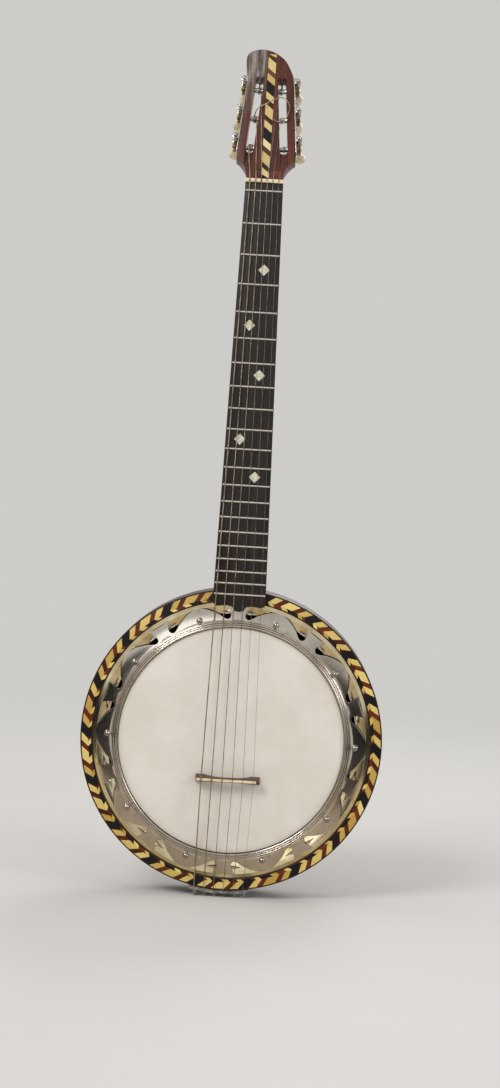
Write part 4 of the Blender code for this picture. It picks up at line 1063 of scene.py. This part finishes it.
def painted_sheen_streaks(material):
    """Paint a grey sheen in streaks on the scroll's left half: a painted highlight on the lacquer."""
    shader = material.node_tree.nodes["Principled BSDF"]
    plain = shader.inputs["Base Color"].links[0].from_socket
    place = own_place(material)
    from_origin = add(material, "VectorMath", {0: place, 1: HEADSTOCK.translation}, operation="SUBTRACT")
    along = add(material, "VectorMath", {0: from_origin.outputs["Vector"], 1: HEADSTOCK.col[1].to_3d()},
                operation="DOT_PRODUCT").outputs["Value"]
    across = add(material, "SeparateXYZ", {"Vector": place}).outputs["X"]
    streaks = cloud(material, 1.0, 4.0, 0.65, stretched(material, place, (380.0, 30.0, 30.0)))
    left = share_between(material, across, -0.0040, -0.0075)
    level = reckon(material, "ADD", along, reckon(material, "MULTIPLY", across, -1.1))
    high = share_between(material, level, 0.100, 0.160)
    share = reckon(material, "MULTIPLY", reckon(material, "MULTIPLY", left, high), streaks)
    grey = between(material, streaks, 0.40, 0.62, paint(78, 66, 60), paint(146, 135, 128))
    colour_by(material, share, 0.06, 0.46, plain, grey)


# Painted sheen: grey streaks high on the scroll's left half stand in for light on the lacquer.
painted_sheen_streaks(head_mahogany)
fit_on(headstock, head_mahogany, "neck_wood", "root", "headstock")

# The headstock's strip: pale boxwood, walnut and black pear, in one row of slanting pieces. It is
# let into the face from the nut to the top, and dressed flush.
STRIP_HALF = 0.00445
STRIP_DROP = 0.0077
STRIP_LOW = 0.0014
STRIP_HIGH = 0.1586
STRIP_FACE = 0.0002
STRIP_THICKNESS = 0.0016
STRIP_RUN = (("boxwood", 0.0138), ("padauk", 0.0066), ("boxwood", 0.0089), ("black", 0.0146),
             ("boxwood", 0.0086), ("padauk", 0.0070))
STRIP_FIRST_TOP = 0.2105
strip_woods = {"boxwood": veneer("pale_boxwood", paint(186, 158, 92), paint(230, 212, 154)),
               "padauk": veneer("walnut_veneer", paint(48, 28, 10), paint(98, 64, 26), coat=0.15),
               "black": black_pear}
strip_tiles = {key: [] for key in inlay_woods}
tile_top = STRIP_FIRST_TOP
tile_number = 0
while tile_top > STRIP_LOW - STRIP_DROP:
    tile_wood, tile_length = STRIP_RUN[tile_number % len(STRIP_RUN)]
    tile_bottom = tile_top - tile_length
    corners = [(STRIP_HALF, tile_bottom - STRIP_DROP / 2), (STRIP_HALF, tile_top - STRIP_DROP / 2),
               (-STRIP_HALF, tile_top + STRIP_DROP / 2), (-STRIP_HALF, tile_bottom + STRIP_DROP / 2)]
    shown = [(x, min(max(y, STRIP_LOW), STRIP_HIGH)) for x, y in corners]
    if max(y for _x, y in shown) - min(y for _x, y in shown) > 0.0004:
        def tile_point(u, v, c=shown):
            low = Vector(c[3]).lerp(Vector(c[0]), u)
            high = Vector(c[2]).lerp(Vector(c[1]), u)
            point = low.lerp(high, 0.01 + 0.98 * v)
            return (point.x, point.y, STRIP_FACE)
        strip_tiles[tile_wood].append(lay_grid(8, 2, tile_point))
    tile_top = tile_bottom
    tile_number += 1
for inlay_name, tiles in strip_tiles.items():
    strip = join_pieces(tiles)
    apply_modifier(strip, "SOLIDIFY", thickness=STRIP_THICKNESS, offset=-1.0)
    seat(strip, "strip_" + inlay_name, HEADSTOCK)
    fit_on(strip, strip_woods[inlay_name], "marquetry", "root", "headstock_inlay")

# The tuning machines: on each side one nickel plate with bearing ears, three worm shafts with cream
# buttons, and three steel posts across the slot, each with a small brass gear under its worm.
GEAR_RADIUS = 0.0063
GEAR_TEETH = 14
TOOTH_HEIGHT = 0.0013
GEAR_START = 0.0021
GEAR_END = 0.0061
WORM_RADIUS = 0.0033
THREAD_START = -0.0038
THREAD_PITCH = 0.0019
THREAD_TURNS = 4
WORM_ABOVE_POST = 0.0100
WORM_OUTBOARD = 0.0050
SHAFT_RADIUS = 0.0020
PLATE_OUTER = 0.0015
BUTTON_START = -0.0303
BUTTON_LENGTH = 0.0185
BUTTON_RADIUS = 0.0080
BUTTON_FLATNESS = 0.6
COLLAR_LENGTH = 0.0016
BUTTON_TURNS = {"left": (0.0, 20.0, 80.0), "right": (-15.0, 65.0, 50.0)}
machine_nickel = metal("machine_nickel", paint(150, 146, 136), paint(216, 212, 202), 0.16, 0.30, size=0.010)
shaft_steel = metal("shaft_steel", paint(140, 138, 134), paint(206, 204, 200), 0.16, 0.28, size=0.006)
gear_brass = metal("gear_brass", paint(98, 82, 54), paint(160, 138, 94), 0.24, 0.38, size=0.004)
button_cream = tune(finish("button_cream", paint(214, 196, 152), 0.30, coat=0.4),
                    {"Subsurface Weight": 0.10, "Subsurface Scale": 0.003})
button_swirl = cloud(button_cream, 0.006, 5.0, 0.6, distortion=1.6)
colour_by(button_cream, button_swirl, 0.36, 0.64, paint(184, 162, 112), paint(230, 218, 184))


def machine_place(side, number):
    """The frame of one machine: X out of the headstock's side, Y up along it, at the post's axis."""
    along = POST_ALONG[number]
    flip = 0.0 if side > 0 else math.pi
    return (HEADSTOCK @ Matrix.Translation((side * side_half_width(along), along, -POST_DEPTH))
            @ Matrix.Rotation(side * slope, 4, "Z") @ Matrix.Rotation(flip, 4, "Y"))


post_spacing = (POST_ALONG[1] - POST_ALONG[0]) / math.cos(slope)
across = Matrix.Rotation(math.radians(90.0), 4, "Y")
PLATE_HALF_DEEP = 0.0078
PLATE_LOW = -post_spacing - 0.0090
PLATE_HIGH = post_spacing + WORM_ABOVE_POST + 0.0045
EAR_HALF_WIDE = 0.0034
EAR_DEPTH = 0.0066
PLATE_SCREW_ALONG = -0.0068
PLATE_SCREW_DEPTH = 0.0048
machine_outline = rounded([(-PLATE_HALF_DEEP, PLATE_LOW, 1), (PLATE_HALF_DEEP, PLATE_LOW, 1),
                           (PLATE_HALF_DEEP, PLATE_HIGH, 1), (-PLATE_HALF_DEEP, PLATE_HIGH, 1)], 0.0030, 6)
machine_parts = [cut_out("side_plate", machine_outline, 0.0003, PLATE_OUTER, across, edge=0.0003)]
ear_outline = [(PLATE_OUTER - 0.0004, -EAR_HALF_WIDE - 0.0002), (WORM_OUTBOARD, -EAR_HALF_WIDE)]
ear_outline += [(WORM_OUTBOARD + EAR_HALF_WIDE * math.sin(math.pi * i / 12),
                 -EAR_HALF_WIDE * math.cos(math.pi * i / 12)) for i in range(1, 12)]
ear_outline += [(WORM_OUTBOARD, EAR_HALF_WIDE), (PLATE_OUTER - 0.0004, EAR_HALF_WIDE + 0.0002)]
ear_pattern = cut_out("ear", ear_outline, -0.0009, 0.0009, AT_ORIGIN, edge=0.0003)
plate_screw_pattern = turn("plate_screw", [(0.0, 0.0010), (0.0010, 0.0009), (0.0016, 0.0005), (0.0018, 0.0),
                                           (0.0, 0.0)], 20, across)
for pattern, name, outboard, above_post, depth in (
        (ear_pattern, "ear", 0.0, WORM_ABOVE_POST, EAR_DEPTH),
        (plate_screw_pattern, "plate_screw", PLATE_OUTER - 0.0002, PLATE_SCREW_ALONG, PLATE_SCREW_DEPTH)):
    machine_parts += copies(pattern, name, [
        Matrix.Translation((outboard, (number - 1) * post_spacing + above_post, side * depth))
        for number in range(3) for side in (1, -1)])
plate_pattern = join_pieces(machine_parts)

shaft_profile = [(0.0, 0.0106), (0.0010, 0.0105), (0.0018, 0.0101), (0.0023, 0.0094), (0.0024, 0.0086),
                 (0.0024, 0.0080), (SHAFT_RADIUS, 0.0078), (SHAFT_RADIUS, 0.0055), (0.0030, 0.0053),
                 (0.0030, 0.0046), (0.0023, 0.0044), (0.0023, -0.0044), (0.0030, -0.0046), (0.0030, -0.0053),
                 (SHAFT_RADIUS, -0.0055), (SHAFT_RADIUS, -0.0100), (0.0026, -0.0104), (0.0028, -0.0112),
                 (0.0026, -0.0120), (SHAFT_RADIUS, -0.0124), (SHAFT_RADIUS, -0.0268), (0.0026, -0.0272),
                 (0.0028, -0.0300), (0.0, -0.0300)]
shaft = turn("shaft", shaft_profile, 28, AT_ORIGIN)
thread = outline_of([(radius, 0.0, height + THREAD_START) for radius, height in (
    (0.0022, -0.0007), (WORM_RADIUS, -0.0002), (WORM_RADIUS, 0.0002), (0.0022, 0.0007))])
apply_modifier(thread, "SCREW", axis="Z", angle=math.tau, screw_offset=THREAD_PITCH,
               iterations=THREAD_TURNS, steps=24, render_steps=24, use_smooth_shade=True)
mend(thread, cap=True)
worm_pattern = seat(join_pieces([shaft, thread]), "worm_pattern", AT_ORIGIN)

button_profile = [(0.0, BUTTON_START), (0.0030, BUTTON_START), (0.0034, BUTTON_START - 0.0012),
                  (0.0036, BUTTON_START - 0.0026)]
for t in [math.pi * i / 18 for i in range(4, 18)]:
    fallen = COLLAR_LENGTH + (BUTTON_LENGTH - COLLAR_LENGTH) * (1 - math.cos(t)) / 2
    button_profile.append((BUTTON_RADIUS * math.sin(t) ** 0.75, BUTTON_START - fallen))
button_profile.append((0.0, BUTTON_START - BUTTON_LENGTH))
button_pattern = turn("button_pattern", button_profile, 36,
                      Matrix.Diagonal((1.0, BUTTON_FLATNESS, 1.0, 1.0)), sharp=60.0)

post_profile = [(0.0, 0.0073), (0.0020, 0.0071), (0.0026, 0.0066), (0.0026, 0.0057), (POST_RADIUS, 0.0056),
                (POST_RADIUS, -0.0080), (0.0030, -0.0084), (0.0030, -0.0180), (POST_RADIUS, -0.0184),
                (POST_RADIUS, -0.0232), (0.0029, -0.0235), (0.0, -0.0235)]
post_pattern = turn("post_pattern", post_profile, 32, across)
gear_outline = []
for tooth in range(GEAR_TEETH):
    for share, reach in ((-0.34, GEAR_RADIUS - TOOTH_HEIGHT), (-0.16, GEAR_RADIUS), (0.16, GEAR_RADIUS),
                         (0.34, GEAR_RADIUS - TOOTH_HEIGHT)):
        t = math.tau * (tooth + share) / GEAR_TEETH
        gear_outline.append((reach * math.cos(t), reach * math.sin(t)))
gear_pattern = cut_out("gear_pattern", gear_outline, GEAR_START, GEAR_END, across, edge=0.0002)

for side, word in ((1, "right"), (-1, "left")):
    side_plate = copy_of(plate_pattern, "machine_plate_" + word, machine_place(side, 1))
    fit_on(side_plate, machine_nickel, "nickel_plate", "root", "tuner_plate_" + word)
    for number in range(3):
        label = "%s_%d" % (word, number + 1)
        place = machine_place(side, number)
        upright = Matrix.Rotation(0.0 if side > 0 else math.pi, 4, "Y")
        shaft_place = place @ Matrix.Translation((WORM_OUTBOARD, WORM_ABOVE_POST, 0.0)) @ upright
        knob_place = shaft_place @ Matrix.Rotation(math.radians(BUTTON_TURNS[word][number]), 4, "Z")
        for pattern, name, piece_place, surface, slot, body, node in (
                (worm_pattern, "worm_", shaft_place, shaft_steel, "steel", "tuner_", "worm_shaft_"),
                (button_pattern, "button_knob_", knob_place, button_cream, "button_plastic", "tuner_",
                 "button_"),
                (post_pattern, "post_", place, shaft_steel, "steel", "post_", "string_post_"),
                (gear_pattern, "gear_wheel_", place, gear_brass, "pale_brass", "post_", "string_post_")):
            piece = copy_of(pattern, name + label, piece_place)
            fit_on(piece, surface, slot, body + label, node + label)
put_away(plate_pattern, worm_pattern, button_pattern, post_pattern, gear_pattern)

# The strings: three bass strings wound with copper-bronze wire and three plain steel ones. Each runs
# from its hook over the bridge and the nut, and its end is wound two and a half turns on its post.
STRING_RADII = (0.00067, 0.00053, 0.00041, 0.00030, 0.00020, 0.00016)
WOUND_STRINGS = 3
SEAT_GAP = 0.0003
TURNS = 2.5
TURN_POINTS = 24
TURN_GAP = 0.0005
FIRST_TURNS = (0.0018, -0.0024, -0.0024)
SLOT_ENDS = (None, 0.0631, 0.1015)
LOOSE_END_STRING = 1
LOOSE_END = ((-0.0150, 0.0835, 0.0010), (-0.0110, 0.0885, 0.0030), (-0.0040, 0.0925, 0.0042),
             (0.0040, 0.0972, 0.0050), (0.0120, 0.1008, 0.0056), (0.0180, 0.0985, 0.0060),
             (0.0222, 0.0925, 0.0062), (0.0226, 0.0850, 0.0060), (0.0200, 0.0765, 0.0055),
             (0.0150, 0.0712, 0.0048), (0.0090, 0.0712, 0.0042), (0.0040, 0.0748, 0.0038))
bronze_wire = finish("bronze_wire", paint(158, 142, 120), 0.34, metallic=1.0)
wraps = add(bronze_wire, "TexWave", {"Vector": own_place(bronze_wire), "Scale": 700.0, "Distortion": 0.0},
            wave_type="BANDS", bands_direction="Z").outputs["Fac"]
colour_by(bronze_wire, cloud(bronze_wire, 0.012, 4.0), 0.35, 0.65, paint(118, 106, 90), paint(180, 165, 144))
relief(bronze_wire, wraps, 0.00008, 0.7)
string_steel = metal("string_steel", paint(110, 106, 100), paint(170, 165, 158), 0.22, 0.34, size=0.010)


def string_route(side, order):
    """The points that one string follows, from its hook to the last turn on its post."""
    index = order if side < 0 else 5 - order
    radius = STRING_RADII[index]
    row = index - 2.5
    lift = SEAT_GAP + radius
    tail_x = TAIL_OFFSET + row * TAIL_SPACING
    over_hook = ((-0.1762, 0.0322), (-0.1759, 0.0340), (-0.1750, 0.0354 + radius), (-0.1735, 0.0355 + lift))
    points = [POT @ Vector((tail_x, below, height)) for below, height in over_hook]
    points += [POT @ Vector((BRIDGE_OFFSET + row * BRIDGE_SPACING, -BRIDGE_BELOW_CENTRE, SADDLE_TOP + lift)),
               NECK @ Vector((row * NUT_SPACING, 0.0, FRET_HEIGHT + lift)),
               NECK @ Vector((row * NUT_SPACING, NUT_START + NUT_THICKNESS + 0.0001, 0.0008 + lift))]
    place = machine_place(side, order)
    wind_radius = POST_RADIUS + SEAT_GAP + radius
    first_turn = FIRST_TURNS[order] - SLOT_FROM_SIDE
    out_of_face = 1.0 if side > 0 else -1.0
    start = place @ Vector((first_turn, 0.0, out_of_face * wind_radius))
    edge_along = SLOT_ENDS[order]
    if edge_along is not None:
        nut_point = HEADSTOCK.inverted() @ points[-1]
        post_point = HEADSTOCK.inverted() @ start
        share = (edge_along - nut_point.y) / (post_point.y - nut_point.y)
        edge_x = nut_point.x + (post_point.x - nut_point.x) * share
        points.append(HEADSTOCK @ Vector((edge_x, edge_along, 0.0005 + radius)))
    climb = (2 * radius + TURN_GAP) * (-1.0 if order == 0 else 1.0)
    for i in range(int(TURNS * TURN_POINTS) + 1):
        angle = math.tau * i / TURN_POINTS
        points.append(place @ Vector((first_turn + climb * i / TURN_POINTS, wind_radius * math.sin(angle),
                                      out_of_face * wind_radius * math.cos(angle))))
    return index, radius, points


def wire_piece(name, points, radius, sides=4):
    """Draw a round wire along its points and make it a mesh."""
    curve = bpy.data.curves.new(name, "CURVE")
    curve.dimensions = "3D"
    curve.bevel_depth = radius
    curve.bevel_resolution = sides
    curve.use_fill_caps = True
    spline = curve.splines.new("POLY")
    spline.points.add(len(points) - 1)
    for target, point in zip(spline.points, points):
        target.co = (*point, 1.0)
    piece = bpy.data.objects.new(name, curve)
    bpy.context.scene.collection.objects.link(piece)
    work_on(piece)
    bpy.ops.object.convert(target="MESH")
    mend(bpy.context.object, 0.000002)
    bpy.ops.object.shade_smooth_by_angle(angle=math.radians(60.0))
    return bpy.context.object


for side in (-1, 1):
    for order in range(3):
        index, radius, route = string_route(side, order)
        if index == LOOSE_END_STRING:
            loop = [tuple(HEADSTOCK.inverted() @ route[-1])] + list(LOOSE_END)
            route += [HEADSTOCK @ Vector(point) for point in through(loop, 5)[1:]]
        string = wire_piece("string_wire_%d" % (6 - index), route, radius)
        fit_on(string, bronze_wire if index < WOUND_STRINGS else string_steel, "string_steel", "root",
               "string_%d" % (6 - index))
